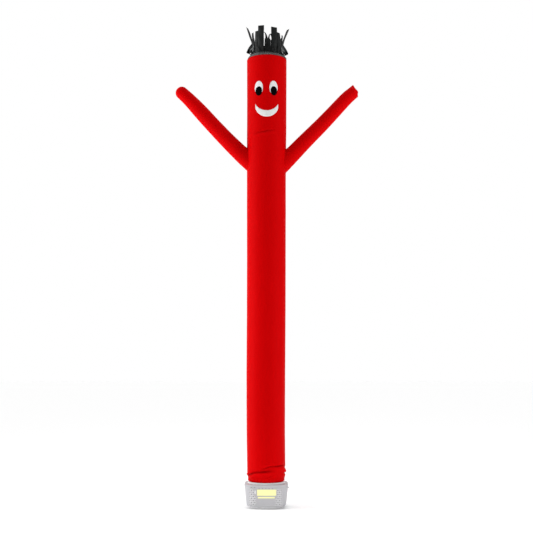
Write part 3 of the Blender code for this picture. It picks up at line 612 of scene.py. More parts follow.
def tube_line(z, column):
    """The middle line's x (column 1) or the radius (column 2) at a height."""
    if z <= TUBE_LINE[0][0]:
        return TUBE_LINE[0][column]
    for low, high in zip(TUBE_LINE, TUBE_LINE[1:]):
        if z <= high[0]:
            return low[column] + (high[column] - low[column]) * (z - low[0]) / (high[0] - low[0])
    return TUBE_LINE[-1][column]


def folds_at(azimuth, z):
    """How far the folds push the cloth out at a place, below 0 in a trough."""
    depth = 0.0
    for middle, half_span, height, slope, half_height, deep in FOLDS:
        along_fold = (azimuth - middle + 180.0) % 360.0 - 180.0
        centre = height + slope * along_fold
        depth += deep * bell(along_fold / half_span) * bell((z - centre) / half_height)
    return depth


HEM_GATHER = 0.0026
HEM_GATHERS = 31.0
RIM_GATHER = 0.0014
RIM_GATHERS = 44.0
RIM_CALM = 0.7
SLOW_WAVE = 0.0011
QUICK_WAVE = 0.0009


def puckers_at(azimuth, z):
    """Small gathers: short upright ones over the drawcord and under the rim, and slow
    waves along the whole tube."""
    turn = math.radians(azimuth)
    side, front = math.sin(turn), math.cos(turn)
    wander = 0.6 * ripple(side * 2.0, front * 2.0, z * 6.0, 1)
    hem = bell((z - HEM_Z - 0.012) / 0.075) * HEM_GATHER * math.sin(HEM_GATHERS * turn + 3.0 * wander)
    rim = bell((z - RIM_Z + 0.004) / 0.050) * RIM_GATHER * math.sin(RIM_GATHERS * turn + 4.0 * wander)
    slow = SLOW_WAVE * ripple(side * 1.6, front * 1.6, z * 1.7, 2)
    slow += QUICK_WAVE * ripple(side * 4.0, front * 4.0, z * 3.5, 3)
    return hem + rim + slow


def tube_point(azimuth, z, outward=0.0):
    """A point on the tube's outer face, `outward` beyond it."""
    radius = tube_line(z, 2) - HEM_PINCH * ease((PINCH_TOP - z) / PINCH_SPAN)
    hem = ease((HEM_Z + HEM_ROUND - z) / HEM_ROUND) ** 2
    radius += (HEM_R - radius) * hem
    radius += folds_at(azimuth, z) * (1.0 - hem)
    rim = ease((z - RIM_Z + RIM_ROUND) / (RIM_ROUND - EDGE_TURN))
    radius += (RIM_R - radius) * rim * rim
    radius += puckers_at(azimuth, z) * (1.0 - RIM_CALM * rim)
    turn = math.radians(azimuth)
    reach = radius + outward
    return Vector((tube_line(z, 1) + reach * math.sin(turn), -reach * math.cos(turn), z))


def steps_between(stops):
    """Heights from a short list of (start, end, step)."""
    heights = []
    for start, end, step in stops:
        count = max(1, round((end - start) / step))
        heights += [start + (end - start) * index / count for index in range(count)]
    return heights + [stops[-1][1]]


TUBE_COLUMNS = 192
TUBE_HEIGHTS = steps_between(((HEM_Z, 0.56, 0.0042), (0.56, 4.10, 0.050), (4.10, 4.53, 0.020),
                              (4.53, 4.68, 0.006), (4.68, 5.48, 0.030), (5.48, RIM_Z, 0.0045)))
print("rows of the tube:", len(TUBE_HEIGHTS), "folds:", len(FOLDS))

# %% [markdown]
# ## Arms: shape
# An arm is a tube whose width shrinks towards its end. Stations along its middle line give
# the bend, and smooth curves join them. At the shoulder each arm's edge follows the big
# tube's round side and flares a little, as two inflated tubes do where they are sewn
# together. The left arm ends in a gathered round tip, the right one in a flat sewn edge.

# %% Arm shape
LEFT_ARM = (
    # x, z, width
    (-0.2350, 4.2780, 0.2080), (-0.3095, 4.3490, 0.2080), (-0.4936, 4.5325, 0.1975),
    (-0.6616, 4.7110, 0.1915), (-0.8280, 4.8940, 0.1855), (-0.9550, 5.0310, 0.1690),
    (-1.0670, 5.1380, 0.1575),
)
RIGHT_ARM = (
    (0.2400, 4.2600, 0.2080), (0.3700, 4.3950, 0.1980), (0.5087, 4.5390, 0.1897),
    (0.6760, 4.7065, 0.1814), (0.8426, 4.8830, 0.1725), (1.0078, 5.0600, 0.1650),
    (1.0900, 5.1330, 0.1560),
)
FLARE = 0.0040
FLARE_LENGTH = 0.0400


def station(stations, t, column):
    """Smooth value of a column at t, 0 at the shoulder and 1 at the last station."""
    last = len(stations) - 1
    place = min(max(t, 0.0) * last, last - 1e-9)
    index = int(place)
    local = place - index
    before = stations[max(index - 1, 0)][column]
    start = stations[index][column]
    end = stations[index + 1][column]
    after = stations[min(index + 2, last)][column]
    slope_in = 0.5 * (end - before)
    slope_out = 0.5 * (after - start)
    cube = local ** 3
    square = local ** 2
    return ((2 * cube - 3 * square + 1) * start + (cube - 2 * square + local) * slope_in
            + (3 * square - 2 * cube) * end + (cube - square) * slope_out)


def arm_axes(stations, t):
    """Middle point, direction along the arm and direction across it."""
    middle = Vector((station(stations, t, 0), 0.0, station(stations, t, 1)))
    ahead = Vector((station(stations, t + 0.01, 0), 0.0, station(stations, t + 0.01, 1)))
    behind = Vector((station(stations, t - 0.01, 0), 0.0, station(stations, t - 0.01, 1)))
    forward = (ahead - behind).normalized()
    return middle, forward, Vector((-forward.z, 0.0, forward.x))


def arm_point(stations, angle, t, extra):
    """A point on an arm's outer face, `extra` beyond it."""
    middle, forward, sideways = arm_axes(stations, max(t, 0.0))
    radius = 0.5 * station(stations, max(t, 0.0), 2) + extra
    if t < 0.0:
        middle = middle + forward * (t * 0.1)
    return middle + sideways * (radius * math.cos(angle)) + Vector((0.0, radius * math.sin(angle), 0.0))


def shoulder_t(stations, angle):
    """Where a line along the arm's flared side meets the big tube, found by halving."""
    low, high = -1.0, 0.6
    for _ in range(24):
        middle = 0.5 * (low + high)
        point = arm_point(stations, angle, middle, FLARE)
        across = point.x - tube_line(point.z, 1)
        inside = math.hypot(across, point.y) < tube_line(point.z, 2)
        if inside:
            low = middle
        else:
            high = middle
    return 0.5 * (low + high)


print("arm stations:", len(LEFT_ARM), len(RIGHT_ARM))

# %% Arm tips
TIP_BLUNT = 0.92
TIP_PLEATS = 9
TIP_PLEAT = 0.045
TIP_CREASE = 0.0016
PILLOW_LENGTH = 0.0600
PILLOW_HALF_DEPTH = 0.0110
PILLOW_EAR = 0.0090
PILLOW_CHAMFER = 0.0480
PILLOW_INSET = 0.0120


def round_tip(angle, s):
    """The gathered end of the left arm, s from 0 to 1 at the very tip."""
    middle, forward, sideways = arm_axes(LEFT_ARM, 1.0)
    radius = 0.5 * LEFT_ARM[-1][2]
    bent = 0.5 * math.pi * s
    reach = radius * math.cos(bent) if s < 1.0 else 0.0
    uneven = TIP_PLEATS * angle + 0.8 * math.sin(2.0 * angle)
    pleat = 1.0 - TIP_PLEAT * math.sin(bent) * (0.5 + 0.5 * math.sin(uneven))
    ring = sideways * (reach * pleat * math.cos(angle))
    ring += Vector((0.0, reach * pleat * math.sin(angle), 0.0))
    return middle + forward * (TIP_BLUNT * radius * math.sin(bent)) + ring


def flat_tip(angle, s):
    """The sewn end of the right arm: its depth shrinks while its width stays."""
    middle, forward, sideways = arm_axes(RIGHT_ARM, 1.0)
    radius = 0.5 * RIGHT_ARM[-1][2]
    flat = min(s, 1.0)
    depth = radius + (PILLOW_HALF_DEPTH - radius) * (1.0 - math.cos(0.5 * math.pi * flat))
    side = math.cos(angle)
    corner = PILLOW_EAR * bell((side - 0.85) / 0.5) - PILLOW_CHAMFER * ease((-0.35 - side) / 0.65)
    reach = PILLOW_LENGTH * math.sin(0.5 * math.pi * flat) + corner * flat
    if s > 1.0:
        return middle + forward * (PILLOW_LENGTH - PILLOW_INSET)
    thick = Vector((0.0, depth * math.sin(angle), 0.0))
    return middle + forward * reach + sideways * (radius * side) + thick


def tip_creases(t, angle, s):
    """Puckers that run back from a sewn end, in metres."""
    back = max(0.0, 1.0 - (1.0 - t) / 0.12) if s <= 0.0 else 1.0
    return TIP_CREASE * back * math.sin(11.0 * angle + 1.3 * math.sin(3.0 * angle))


print("tips are ready")

# %% Build the tube and the arms
# The fold depth at which the painted shade in a trough, and the painted highlight on a ridge, are full.
FULL_FOLD = 0.0200
NYLON = 0.0012
MOUTH_MARGIN = 0.0140
MOUTHS_FROM, MOUTHS_TO = 4.0, 4.6


def in_a_mouth(face):
    """Whether a face of the big tube lies well inside the mouth of an arm."""
    point = face.calc_center_median()
    for stations in (LEFT_ARM, RIGHT_ARM):
        middle, forward, _ = arm_axes(stations, 0.0)
        away = point - middle
        off = away - forward * away.dot(forward)
        if off.length < 0.5 * stations[0][2] - MOUTH_MARGIN and point.x * stations[0][0] > 0.0:
            return MOUTHS_FROM < point.z < MOUTHS_TO
    return False


def build_tube():
    """The big tube, its map in metres, with its folds kept as a value at each point."""
    rows = len(TUBE_HEIGHTS) - 1

    def height_at(share):
        return TUBE_HEIGHTS[round(share * rows)]

    bm = flat_sheet(TUBE_COLUMNS, rows, TUBE_ROUND, 1.0)
    # Each point keeps its fold depth as 'fold', which the red finish turns into painted shade in troughs
    # and a painted highlight on ridges.
    fold = bm.verts.layers.float.new("fold")
    for vert in bm.verts:
        vert[fold] = folds_at(360.0 * vert.co.x - 180.0, height_at(vert.co.y)) / FULL_FOLD
    cloth_map = bm.loops.layers.uv["cloth"]
    for face in bm.faces:
        for loop in face.loops:
            loop[cloth_map].uv.y = height_at(loop[cloth_map].uv.y)
    bend(bm, lambda u, w: tube_point(360.0 * u - 180.0, height_at(w)))
    mouths = [face for face in bm.faces if in_a_mouth(face)]
    bmesh.ops.delete(bm, geom=mouths, context="FACES")
    return piece("tube_cloth", bm, red_tube, "body_tube")


ARM_COLUMNS = 64
ARM_ROWS = 96
TIP_ROWS = 16
ARM_ROUND = 0.57
ARM_LENGTH = 1.30
ARM_WAVE = 0.0012
ROW_CROWDING = 1.25


def build_arm(name, node, stations, tip):
    """An arm from the big tube's side to its sewn end."""
    total = ARM_ROWS + TIP_ROWS + 1
    starts = [shoulder_t(stations, -2.0 * math.pi * column / ARM_COLUMNS)
              for column in range(ARM_COLUMNS + 1)]

    def place(u, w):
        column = round(u * ARM_COLUMNS)
        angle = -2.0 * math.pi * (column % ARM_COLUMNS) / ARM_COLUMNS
        step = round(w * total)
        if step <= ARM_ROWS:
            start = starts[column]
            share = step / ARM_ROWS
            t = start + (1.0 - start) * share ** ROW_CROWDING
            gone = (t - start) * ARM_LENGTH
            flare = FLARE * (1.0 - min(1.0, gone / FLARE_LENGTH)) ** 2
            crease = tip_creases(t, angle, 0.0)
            slow = ARM_WAVE * ripple(math.cos(angle), math.sin(angle), 5.0 * t + stations[0][0], 5)
            return arm_point(stations, angle, t, flare + crease + slow)
        s = (step - ARM_ROWS) / TIP_ROWS
        point = tip(angle, s)
        if s >= 1.0:
            return point
        middle, _, _ = arm_axes(stations, 1.0)
        return point + (point - middle).normalized() * (tip_creases(1.0, angle, s) * (1.0 - s))

    bm = bend(flat_sheet(ARM_COLUMNS, total, ARM_ROUND, ARM_LENGTH), place)
    return thicken(piece(name, bm, red_arm, node), NYLON)


tube_cloth = thicken(build_tube(), NYLON)
arm_left_cloth = build_arm("arm_cloth_left", "arm_left", LEFT_ARM, round_tip)
arm_right_cloth = build_arm("arm_cloth_right", "arm_right", RIGHT_ARM, flat_tip)
print("tube faces:", len(tube_cloth.data.polygons), "arm faces:", len(arm_left_cloth.data.polygons))

# %% [markdown]
# ## Face
# The eyes and the smile are patches of white and black nylon, cut flat and sewn on before
# the tube is closed. Here each one starts as a small flat grid with the patch's outline,
# seen straight from the front, and is then laid on the round head. A pupil lies one layer
# further out than the white that it is sewn on.

# %% Face tools
EYE_Z = 5.1410
EYE_HALF = (0.0502, 0.0875)
PUPIL_X = 0.0928
PUPIL_Z = 5.1015
PUPIL_HALF = (0.0405, 0.0580)
SMILE_X = 0.0055
SMILE_HALF = 0.1400
SMILE_TIP_Z = 4.9430
SMILE_INNER_DROP = 0.0885
SMILE_OUTER_DROP = 0.1665
PATCH = 0.0012
CLEAR = 0.0003


def on_head(x, z, outward):
    """The point on the head's front that is seen at x, z from straight ahead."""
    turn = math.asin((x - tube_line(z, 1)) / tube_line(z, 2))
    return tube_point(math.degrees(turn), z, outward)


def oval_at(x, z, half):
    """An outline for sew_on: u runs round the oval, share from its middle to its edge."""
    def outline(u, share):
        turn = 2.0 * math.pi * u
        return x + share * half[0] * math.sin(turn), z + share * half[1] * math.cos(turn)
    return outline


def arc_drop(half_width, drop, x):
    """How far a round arc sags at x below its ends."""
    radius = (half_width ** 2 + drop ** 2) / (2.0 * drop)
    return math.sqrt(max(radius * radius - x * x, 0.0)) - (radius - drop)


def sew_on(name, columns, rows, outline, level, material, node, size):
    """A patch on the head: level 0 lies on the red cloth, level 1 on another patch."""
    outward = CLEAR + PATCH + level * (CLEAR + PATCH)

    def place(u, w):
        x, z = outline(u, w)
        return on_head(x, z, outward)

    bm = bend(flat_sheet(columns, rows, *size), place)
    item = thicken(piece(name, bm, material, node), PATCH)
    patch_area(outline, columns)
    return item


def patch_area(outline, columns):
    """The outline's area seen flat, summed round its edge."""
    corners = [outline(index / columns, 1.0) for index in range(columns)]
    total = sum(a[0] * b[1] - b[0] * a[1] for a, b in zip(corners, corners[1:] + corners[:1]))
    return abs(0.5 * total)


print("face tools are ready")

# %% Eyes
for side, sign, eye_x in (("left", -1.0, -0.0917), ("right", 1.0, 0.0893)):
    sew_on("eye_" + side, 48, 8, oval_at(eye_x, EYE_Z, EYE_HALF), 0, white_patch,
           "eye_white_" + side, (0.106, 0.176))
    sew_on("pupil_" + side, 40, 6, oval_at(sign * PUPIL_X, PUPIL_Z, PUPIL_HALF), 1, black_patch,
           "eye_pupil_" + side, (0.082, 0.116))
print("eyes are sewn on")

# %% Smile
def smile_point(u, w):
    """A point of the crescent between two arcs, seen from the front."""
    x = SMILE_HALF * math.sin(0.5 * math.pi * (2.0 * u - 1.0))
    low = SMILE_TIP_Z - arc_drop(SMILE_HALF, SMILE_OUTER_DROP, x)
    high = SMILE_TIP_Z - arc_drop(SMILE_HALF, SMILE_INNER_DROP, x)
    return x + SMILE_X, low + (high - low) * w


smile_bm = flat_sheet(48, 8, 0.30, 0.10)
bend(smile_bm, lambda u, w: on_head(*smile_point(u, w), CLEAR + PATCH))
smile_patch = thicken(piece("smile_patch", smile_bm, white_patch, "smile"), PATCH)
print("smile is sewn on")

# %% [markdown]
# ## Collar
# The collar is a narrow band of black nylon. It is gathered on to the red rim and drawn in
# again at its top, so that the air leaves through a smaller hole. Gathers make it wrinkle
# all round: fine pleats that wander, deeper in some places than in others.

# %% Collar
COLLAR_R = 0.1900
COLLAR_H = 0.0500
COLLAR_PUFF = 0.0120
PLEATS = 38.0
PLEAT_DEPTH = 0.0048
SLACK_DEPTH = 0.0050
SIDE_AT, SIDE_HALF = 95.0, 60.0
SIDE_PUFF = 0.0060
RIGHT_PUFF = 0.0050
HAIR_TILT = -0.0450
HAIR_SHIFT = 0.0080


def collar_share(height):
    """0 on the rim and 1 at the collar's top."""
    low = CLEAR + EDGE_TURN
    return min(1.0, max(0.0, (height - low) / (COLLAR_H - EDGE_TURN - low)))


def over_rim(azimuth, radius, height, sideways=0.0):
    """A point over the rim. The middle moves from the rim's to the hair's, and the slant
    grows, as the collar rises."""
    turn = math.radians(azimuth)
    share = collar_share(height)
    x = radius * math.sin(turn) + sideways * math.cos(turn)
    y = -radius * math.cos(turn) + sideways * math.sin(turn)
    middle = tube_line(RIM_Z, 1) + HAIR_SHIFT * share
    return Vector((x + middle, y, RIM_Z + height + HAIR_TILT * share * x))


def collar_point(u, w):
    """A point of the puffed and pleated band."""
    azimuth = 360.0 * u - 180.0
    turn = math.radians(azimuth)
    height = CLEAR + (COLLAR_H - CLEAR) * w
    share = collar_share(height)
    wander = ripple(2.5 * math.sin(turn), 2.5 * math.cos(turn), 2.0 * w, 7)
    deeper = 0.6 + 0.8 * ripple(math.sin(turn), math.cos(turn), 0.0, 8)
    pleat = PLEAT_DEPTH * math.sin(PLEATS * turn + 5.0 * wander) * deeper
    slack = SLACK_DEPTH * ripple(4.0 * math.sin(turn), 4.0 * math.cos(turn), 3.0 * w, 9)
    strength = math.sin(math.pi * min(1.0, w * 1.1)) ** 0.8
    sides = bell((abs(azimuth) - SIDE_AT) / SIDE_HALF) * (SIDE_PUFF + RIGHT_PUFF * math.sin(turn))
    radius = RIM_R + (COLLAR_R - RIM_R) * share + COLLAR_PUFF * math.sin(math.pi * share)
    radius += sides * math.sin(math.pi * min(1.0, 0.25 + 0.75 * share))
    return over_rim(azimuth, radius + strength * (pleat + slack), height)


collar_cloth = thicken(piece("collar_cloth", bend(flat_sheet(288, 16, 1.43, 0.062), collar_point),
                             black_collar, "collar"), 0.0010)
print("collar faces:", len(collar_cloth.data.polygons))

# %% [markdown]
# ## Hair
# Two bands are cut into strips. The outer one has long strips that stand in the air stream,
# and at each side some that fold out over the collar. The inner one has shorter strips, two
# of which arch over. A strip is a narrow sheet: each is bent along its own path, its middle
# bowed, its edges curling and its end cut square.

# %% Hair tables
HAIR_BAND_H = 0.0120
HAIR_CLOTH = 0.0010
HAIR_OUTER = (
    # kind, azimuth, width, height, bulge, lean, drift, twist
    ("flat", -6.0, 0.038, 0.1590, 0.006, -0.006, 0.002, 6),
    ("flat", 6.2, 0.040, 0.1600, 0.008, -0.004, -0.002, -9),
    ("flat", -24.9, 0.084, 0.3250, 0.008, 0.002, 0.000, -4),
    ("flat", 26.2, 0.085, 0.3120, 0.010, 0.000, 0.000, 5),
    ("flat", -47.0, 0.062, 0.2640, 0.004, -0.003, 0.000, 3),
    ("flat", 49.5, 0.066, 0.2560, 0.004, -0.003, 0.000, -3),
    ("fold", -72, 0.050, 0.2600, 0.036, 0.006, 0.000, -40),
    ("fold", 74, 0.048, 0.2440, 0.036, 0.006, 0.000, 40),
    ("ear", -92, 0.062, 0.3420, 0.056, 0.070, 0.000, 34),
    ("ear", 92, 0.062, 0.3440, 0.057, 0.076, 0.000, -34),
    ("fold", -115, 0.062, 0.2400, 0.040, 0.006, 0.000, -8),
    ("fold", 115, 0.062, 0.2550, 0.040, 0.010, 0.000, 8),
    ("flat", -137, 0.064, 0.2650, 0.012, -0.008, 0.000, 6),
    ("flat", 137, 0.064, 0.2400, 0.020, 0.004, 0.000, -9),
    ("flat", -159, 0.064, 0.2300, 0.018, 0.012, 0.000, -6),
    ("flat", 159, 0.064, 0.2550, 0.010, -0.004, 0.000, 7),
    ("flat", 180, 0.056, 0.2350, 0.016, 0.008, 0.000, 5),
)
HAIR_INNER = (
    ("arch", -7.6, 0.034, 0.2520, -0.024, -0.018, -0.030, -72),
    ("arch", 7.6, 0.034, 0.2320, -0.026, -0.020, 0.024, 72),
    ("flat", -37.5, 0.100, 0.2750, -0.004, -0.022, 0.000, 2),
    ("flat", 41.5, 0.106, 0.2660, -0.004, -0.020, 0.000, -2),
    ("flat", -63, 0.046, 0.1100, -0.004, -0.016, 0.000, 8),
    ("flat", 63.5, 0.046, 0.1050, -0.004, -0.018, 0.000, -8),
    ("flat", -104, 0.060, 0.1600, -0.004, -0.022, 0.000, 6),
    ("flat", 104, 0.060, 0.1500, -0.006, -0.018, 0.000, -6),
    ("flat", -148, 0.060, 0.2000, -0.006, -0.020, 0.000, -5),
    ("flat", 148, 0.060, 0.1900, -0.004, -0.024, 0.000, 5),
    ("flat", -171, 0.050, 0.1650, -0.006, -0.020, 0.000, 7),
    ("flat", 171, 0.050, 0.1800, -0.004, -0.018, 0.000, -6),
)
FOLD_SHARE = 0.42
FOLD_HEIGHT = {"fold": 0.0750, "ear": 0.1250}
END_TWIST = {"fold": 6, "ear": 26}
ARCH_SHARE = 0.72
ARCH_DROP = 0.0500
# Where on its fold a folded strip gets a painted highlight, and where painted shade.
HIGHLIGHT_AT, HIGHLIGHT_HALF = 0.85, 0.45
FOLD_SHADE_AT, FOLD_SHADE_HALF = 0.30, 0.40
STRIP_ROWS = 44
WIDE_STRIP = 0.09
BENT_MAP = 1.35
BENT_CUT = 1.2
INNER_R = 0.1847
CUT_SPARE = 0.08
STRIP_BOW = 0.0040
STRIP_FLUTTER = 0.0050
SLOW_CREASE = 0.0115
FINE_CREASE = 0.0016
SEAT = 0.0006
print("strips:", len(HAIR_OUTER) + len(HAIR_INNER))

# %% Hair strips
def strip_path(kind, height, bulge, lean, drift, twist, s):
    """Reach beyond the band, height, sideways drift and twist at s along the strip. The
    powers shape the curves: one over 1 makes a curve start late, one under 1 early."""
    turned = math.radians(twist)
    if kind in ("fold", "ear"):
        end_twist = math.radians(math.copysign(END_TWIST[kind], twist))
        if s < FOLD_SHARE:
            part = s / FOLD_SHARE
            out = bulge * math.sin(math.pi * part ** 0.62) ** 0.9
            turned = turned * math.sin(math.pi * part) ** 0.5 + end_twist * part
            return out, FOLD_HEIGHT[kind] * part ** 1.7, drift * s * s, turned
        part = (s - FOLD_SHARE) / (1.0 - FOLD_SHARE)
        rise = FOLD_HEIGHT[kind] + (height - FOLD_HEIGHT[kind]) * part
        return lean * part ** 1.2, rise, drift * s * s, end_twist
    turned *= ease(1.6 * s)
    if kind == "arch":
        rise = min(s / ARCH_SHARE, 1.0)
        over = max(s - ARCH_SHARE, 0.0) / (1.0 - ARCH_SHARE)
        up = height * math.sin(0.5 * math.pi * rise) - ARCH_DROP * over * over
        aside = drift * (rise ** 3 + 0.65 * over) - 0.35 * drift * math.sin(math.pi * rise)
        return bulge * ease(2.5 * s) + lean * s, up, aside, turned
    return bulge * math.sin(math.pi * s) + lean * s, height * s, drift * s * s, turned


def add_strip(bm, row, band_r, seed):
    """One strip as a bent sheet, added to the band's bmesh."""
    kind, azimuth, width, height, bulge, lean, drift, twist = row
    columns = 10 if width > WIDE_STRIP else 6
    sheet_bm = flat_sheet(columns, STRIP_ROWS, width, height * (1.0 if kind == "flat" else BENT_MAP))
    base = COLLAR_H + CLEAR + 0.5 * HAIR_BAND_H
    # A folded strip keeps a 'fold' value for painted tones: above 0 near the top of the fold, for a
    # painted highlight, and below 0 lower in it, for painted shade.
    if kind in FOLD_HEIGHT:
        fold = sheet_bm.verts.layers.float.new("fold")
        for vert in sheet_bm.verts:
            part = vert.co.y / FOLD_SHARE
            vert[fold] = bell((part - HIGHLIGHT_AT) / HIGHLIGHT_HALF) - bell((part - FOLD_SHADE_AT) / FOLD_SHADE_HALF)

    def place(u, w):
        out, up, aside, turned = strip_path(kind, height, bulge, lean, drift, twist, w)
        edge = 2.0 * u - 1.0
        bow = STRIP_BOW * math.sin(math.pi * w) * (1.0 - edge * edge)
        flutter = STRIP_FLUTTER * w * ripple(1.3 * edge, 5.0 * w, 0.0, seed)
        low_down = bell((w * height - 0.045) / 0.120)
        slow = ripple(1.1 * edge + 0.8 * w, 26.0 * w * height + 2.2 * edge, 0.0, seed + 3)
        crease = SLOW_CREASE * low_down * slow
        crease += FINE_CREASE * math.sin(40.0 * w * height + 2.0 * edge + seed) * min(1.0, 4.0 * w)
        across = 0.5 * width * edge * (1.0 - 0.06 * w)
        deep = bow + flutter + crease
        chord = band_r - across * across / (2.0 * band_r)
        reach = chord - SEAT + out + across * math.sin(turned) + deep * math.cos(turned)
        side = aside + across * math.cos(turned) - deep * math.sin(turned)
        lift = up + 0.5 * HAIR_BAND_H if w > 0.0 else 0.0
        return over_rim(azimuth, reach, base + lift, side)

    join_into(bm, bend(sheet_bm, place))


def build_hair(name, table, band_r, node, round_length):
    """A band with its strips, and what was cut to make it."""
    low = COLLAR_H + CLEAR
    flat_area = round_length * HAIR_BAND_H
    flat_area += sum(row[2] * row[3] * (1.0 if row[0] == "flat" else BENT_CUT) for row in table)
    bm = flat_sheet(144, 3, round_length, HAIR_BAND_H)
    bm.verts.layers.float.new("fold")
    bend(bm, lambda u, w: over_rim(360.0 * u - 180.0, band_r, low + HAIR_BAND_H * w))
    for index, row in enumerate(table):
        add_strip(bm, row, band_r, 20 + index)
    item = thicken(piece(name, bm, black_hair, node), HAIR_CLOTH)
    longest = max(row[3] for row in table) + CUT_SPARE
    share = flat_area / (round_length * longest)
    print(name, "strips:", len(table), "share of the cut:", round(share, 2))


build_hair("hair_outer_cloth", HAIR_OUTER, COLLAR_R, "hair_outer", 1.19)
build_hair("hair_inner_cloth", HAIR_INNER, INNER_R, "hair_inner", 1.16)

# %% [markdown]
# ## Blower
# The blower is a tapered tub of moulded plastic on a foot plate. Its plan is a square with
# very round corners. A round hole in its deck holds the outlet: a flange that the hem
# stands on and a spigot inside it. The tub is a bent grid too, with more rings at its edges,
# because a moulded edge is round and catches a line of light.

# %% Blower shape
BASE_HALF = 0.1995
BASE_H = 0.0300
BASE_CORNER = 0.1400
SHELL_LOW = 0.2395
SHELL_HIGH = 0.2660
SHELL_TOP = 0.2900
SHELL_CORNER = 0.1500
SHELL_WALL = 0.0050
SHELL_EDGE = 0.0120
FLANGE_R = 0.2280
SPIGOT_R = 0.1850
SPIGOT_H = 0.0700
SPIGOT_WALL = 0.0060
TUB_HOLE = SPIGOT_R - SPIGOT_WALL
RING_COLUMNS = 192
EDGE_STEPS = 5


def plan_point(azimuth, half, corner):
    """Where a ray from the middle meets a square with round corners."""
    turn = math.radians(azimuth)
    ray = Vector((math.sin(turn), -math.cos(turn)))
    point = ray * (half / max(abs(ray.x), abs(ray.y)))
    inner = half - corner
    if abs(point.x) > inner and abs(point.y) > inner:
        centre = Vector((math.copysign(inner, point.x), math.copysign(inner, point.y)))
        ahead = ray.dot(centre)
        point = ray * (ahead + math.sqrt(corner * corner - centre.length_squared + ahead * ahead))
    return point


def shell_half(z):
    """Half the tub's width at a height."""
    return SHELL_LOW + (SHELL_HIGH - SHELL_LOW) * (z - BASE_H) / (SHELL_TOP - BASE_H)


def ringed(name, rings, material, node):
    """A form from rings of (height, half width, corner radius). Half 0 closes it in a point."""
    count = len(rings) - 1

    def place(u, w):
        height, half, corner = rings[round(w * count)]
        if half == 0.0:
            return Vector((0.0, 0.0, height))
        return Vector((*plan_point(360.0 * u - 180.0, half, corner), height))

    return piece(name, bend(flat_sheet(RING_COLUMNS, count, 1.5, 0.3), place), material, node)


def with_corner(rings, corner):
    """The same rings, each with its corner radius."""
    return [(height, half, corner) for height, half in rings]


print("plan of the blower is ready")

# %% Foot and tub
foot_rings = [(0.0, 0.0), (0.0, 0.10), (0.0, BASE_HALF - 0.005), (0.0015, BASE_HALF - 0.0015),
              (0.005, BASE_HALF), (0.015, BASE_HALF + 0.0004), (BASE_H - 0.004, BASE_HALF),
              (BASE_H - 0.001, BASE_HALF - 0.001), (BASE_H, BASE_HALF - 0.004), (BASE_H, 0.10),
              (BASE_H, 0.0)]
ringed("blower_foot", with_corner(foot_rings, BASE_CORNER), foot_plastic_painted_light,
       "blower_base")

LOW = BASE_H + CLEAR
WALL_FROM = 0.060
WALL_STEP = 0.024
GROOVE = 0.0012
GROOVE_RINGS = ((0.2620, 0.0), (0.2635, GROOVE), (0.2655, GROOVE), (0.2670, 0.0))
turned_by = [0.5 * math.pi * step / EDGE_STEPS for step in range(EDGE_STEPS + 1)]
tub_rings = [(LOW, 0.0), (LOW, 0.12), (LOW, SHELL_LOW - SHELL_EDGE)]
tub_rings += [(LOW + SHELL_EDGE * (1.0 - math.cos(turn)),
               SHELL_LOW - SHELL_EDGE + SHELL_EDGE * math.sin(turn)) for turn in turned_by[1:]]
tub_rings += [(WALL_FROM + WALL_STEP * step, shell_half(WALL_FROM + WALL_STEP * step))
              for step in range(9)]
tub_rings += [(height, shell_half(height) - depth) for height, depth in GROOVE_RINGS]
tub_rings += [(SHELL_TOP - SHELL_EDGE * (1.0 - math.sin(turn)),
               SHELL_HIGH - 0.001 - SHELL_EDGE * (1.0 - math.cos(turn))) for turn in turned_by]
tub = with_corner(tub_rings, SHELL_CORNER) + [(SHELL_TOP, TUB_HOLE, TUB_HOLE)]
thicken(ringed("blower_tub", tub, housing_plastic, "blower_housing"), SHELL_WALL)
print("tub rings:", len(tub_rings))

# %% Outlet ring
ring_low = SHELL_TOP + CLEAR
ring_flange = HEM_Z - CLEAR
ring_top = SHELL_TOP + SPIGOT_H
LIP = 0.0030
FLANGE_BULGE = 0.0006
RING_STEPS = 160
ring_profile = [(FLANGE_R, ring_low), (FLANGE_R + FLANGE_BULGE, 0.5 * (ring_low + ring_flange)),
                (FLANGE_R, ring_flange - LIP),
                (FLANGE_R - 0.3 * LIP, ring_flange - 0.7 * LIP + 0.0016),
                (FLANGE_R - LIP, ring_flange), (SPIGOT_R, ring_flange), (SPIGOT_R, ring_top - LIP),
                (SPIGOT_R - 0.3 * LIP, ring_top - 0.3 * LIP), (SPIGOT_R - LIP, ring_top),
                (TUB_HOLE, ring_top), (TUB_HOLE, ring_low)]


def turned_ring(profile):
    """A closed profile spun once round the upright axis."""
    bm = bmesh.new()
    corners = [bm.verts.new((radius, 0.0, height)) for radius, height in profile]
    edges = [bm.edges.new((a, b)) for a, b in zip(corners, corners[1:] + corners[:1])]
    bmesh.ops.spin(bm, geom=corners + edges, axis=(0.0, 0.0, 1.0), cent=(0.0, 0.0, 0.0),
                   angle=2.0 * math.pi, steps=RING_STEPS, use_merge=True)
    bmesh.ops.recalc_face_normals(bm, faces=bm.faces)
    return bm


outlet = piece("outlet_flange", turned_ring(ring_profile), ring_plastic,
               "outlet_ring")
outlet.data.set_sharp_from_angle(angle=math.radians(40.0))
print("outlet faces:", len(outlet.data.polygons))

# %% [markdown]
# ## Blank plates, screws and air holes
# The front carries two blank plates, one above the other, a pale rib, two small screws, and
# fields of round air holes at both sides. A plate is a thin sheet laid on the tapered
# front. An air hole at the sides is made of two thin discs, a pale one for its rim and a
# smaller dark one on it. The short row over the plates has small dark ones alone. Discs in
# staggered rows need far fewer faces than real holes.

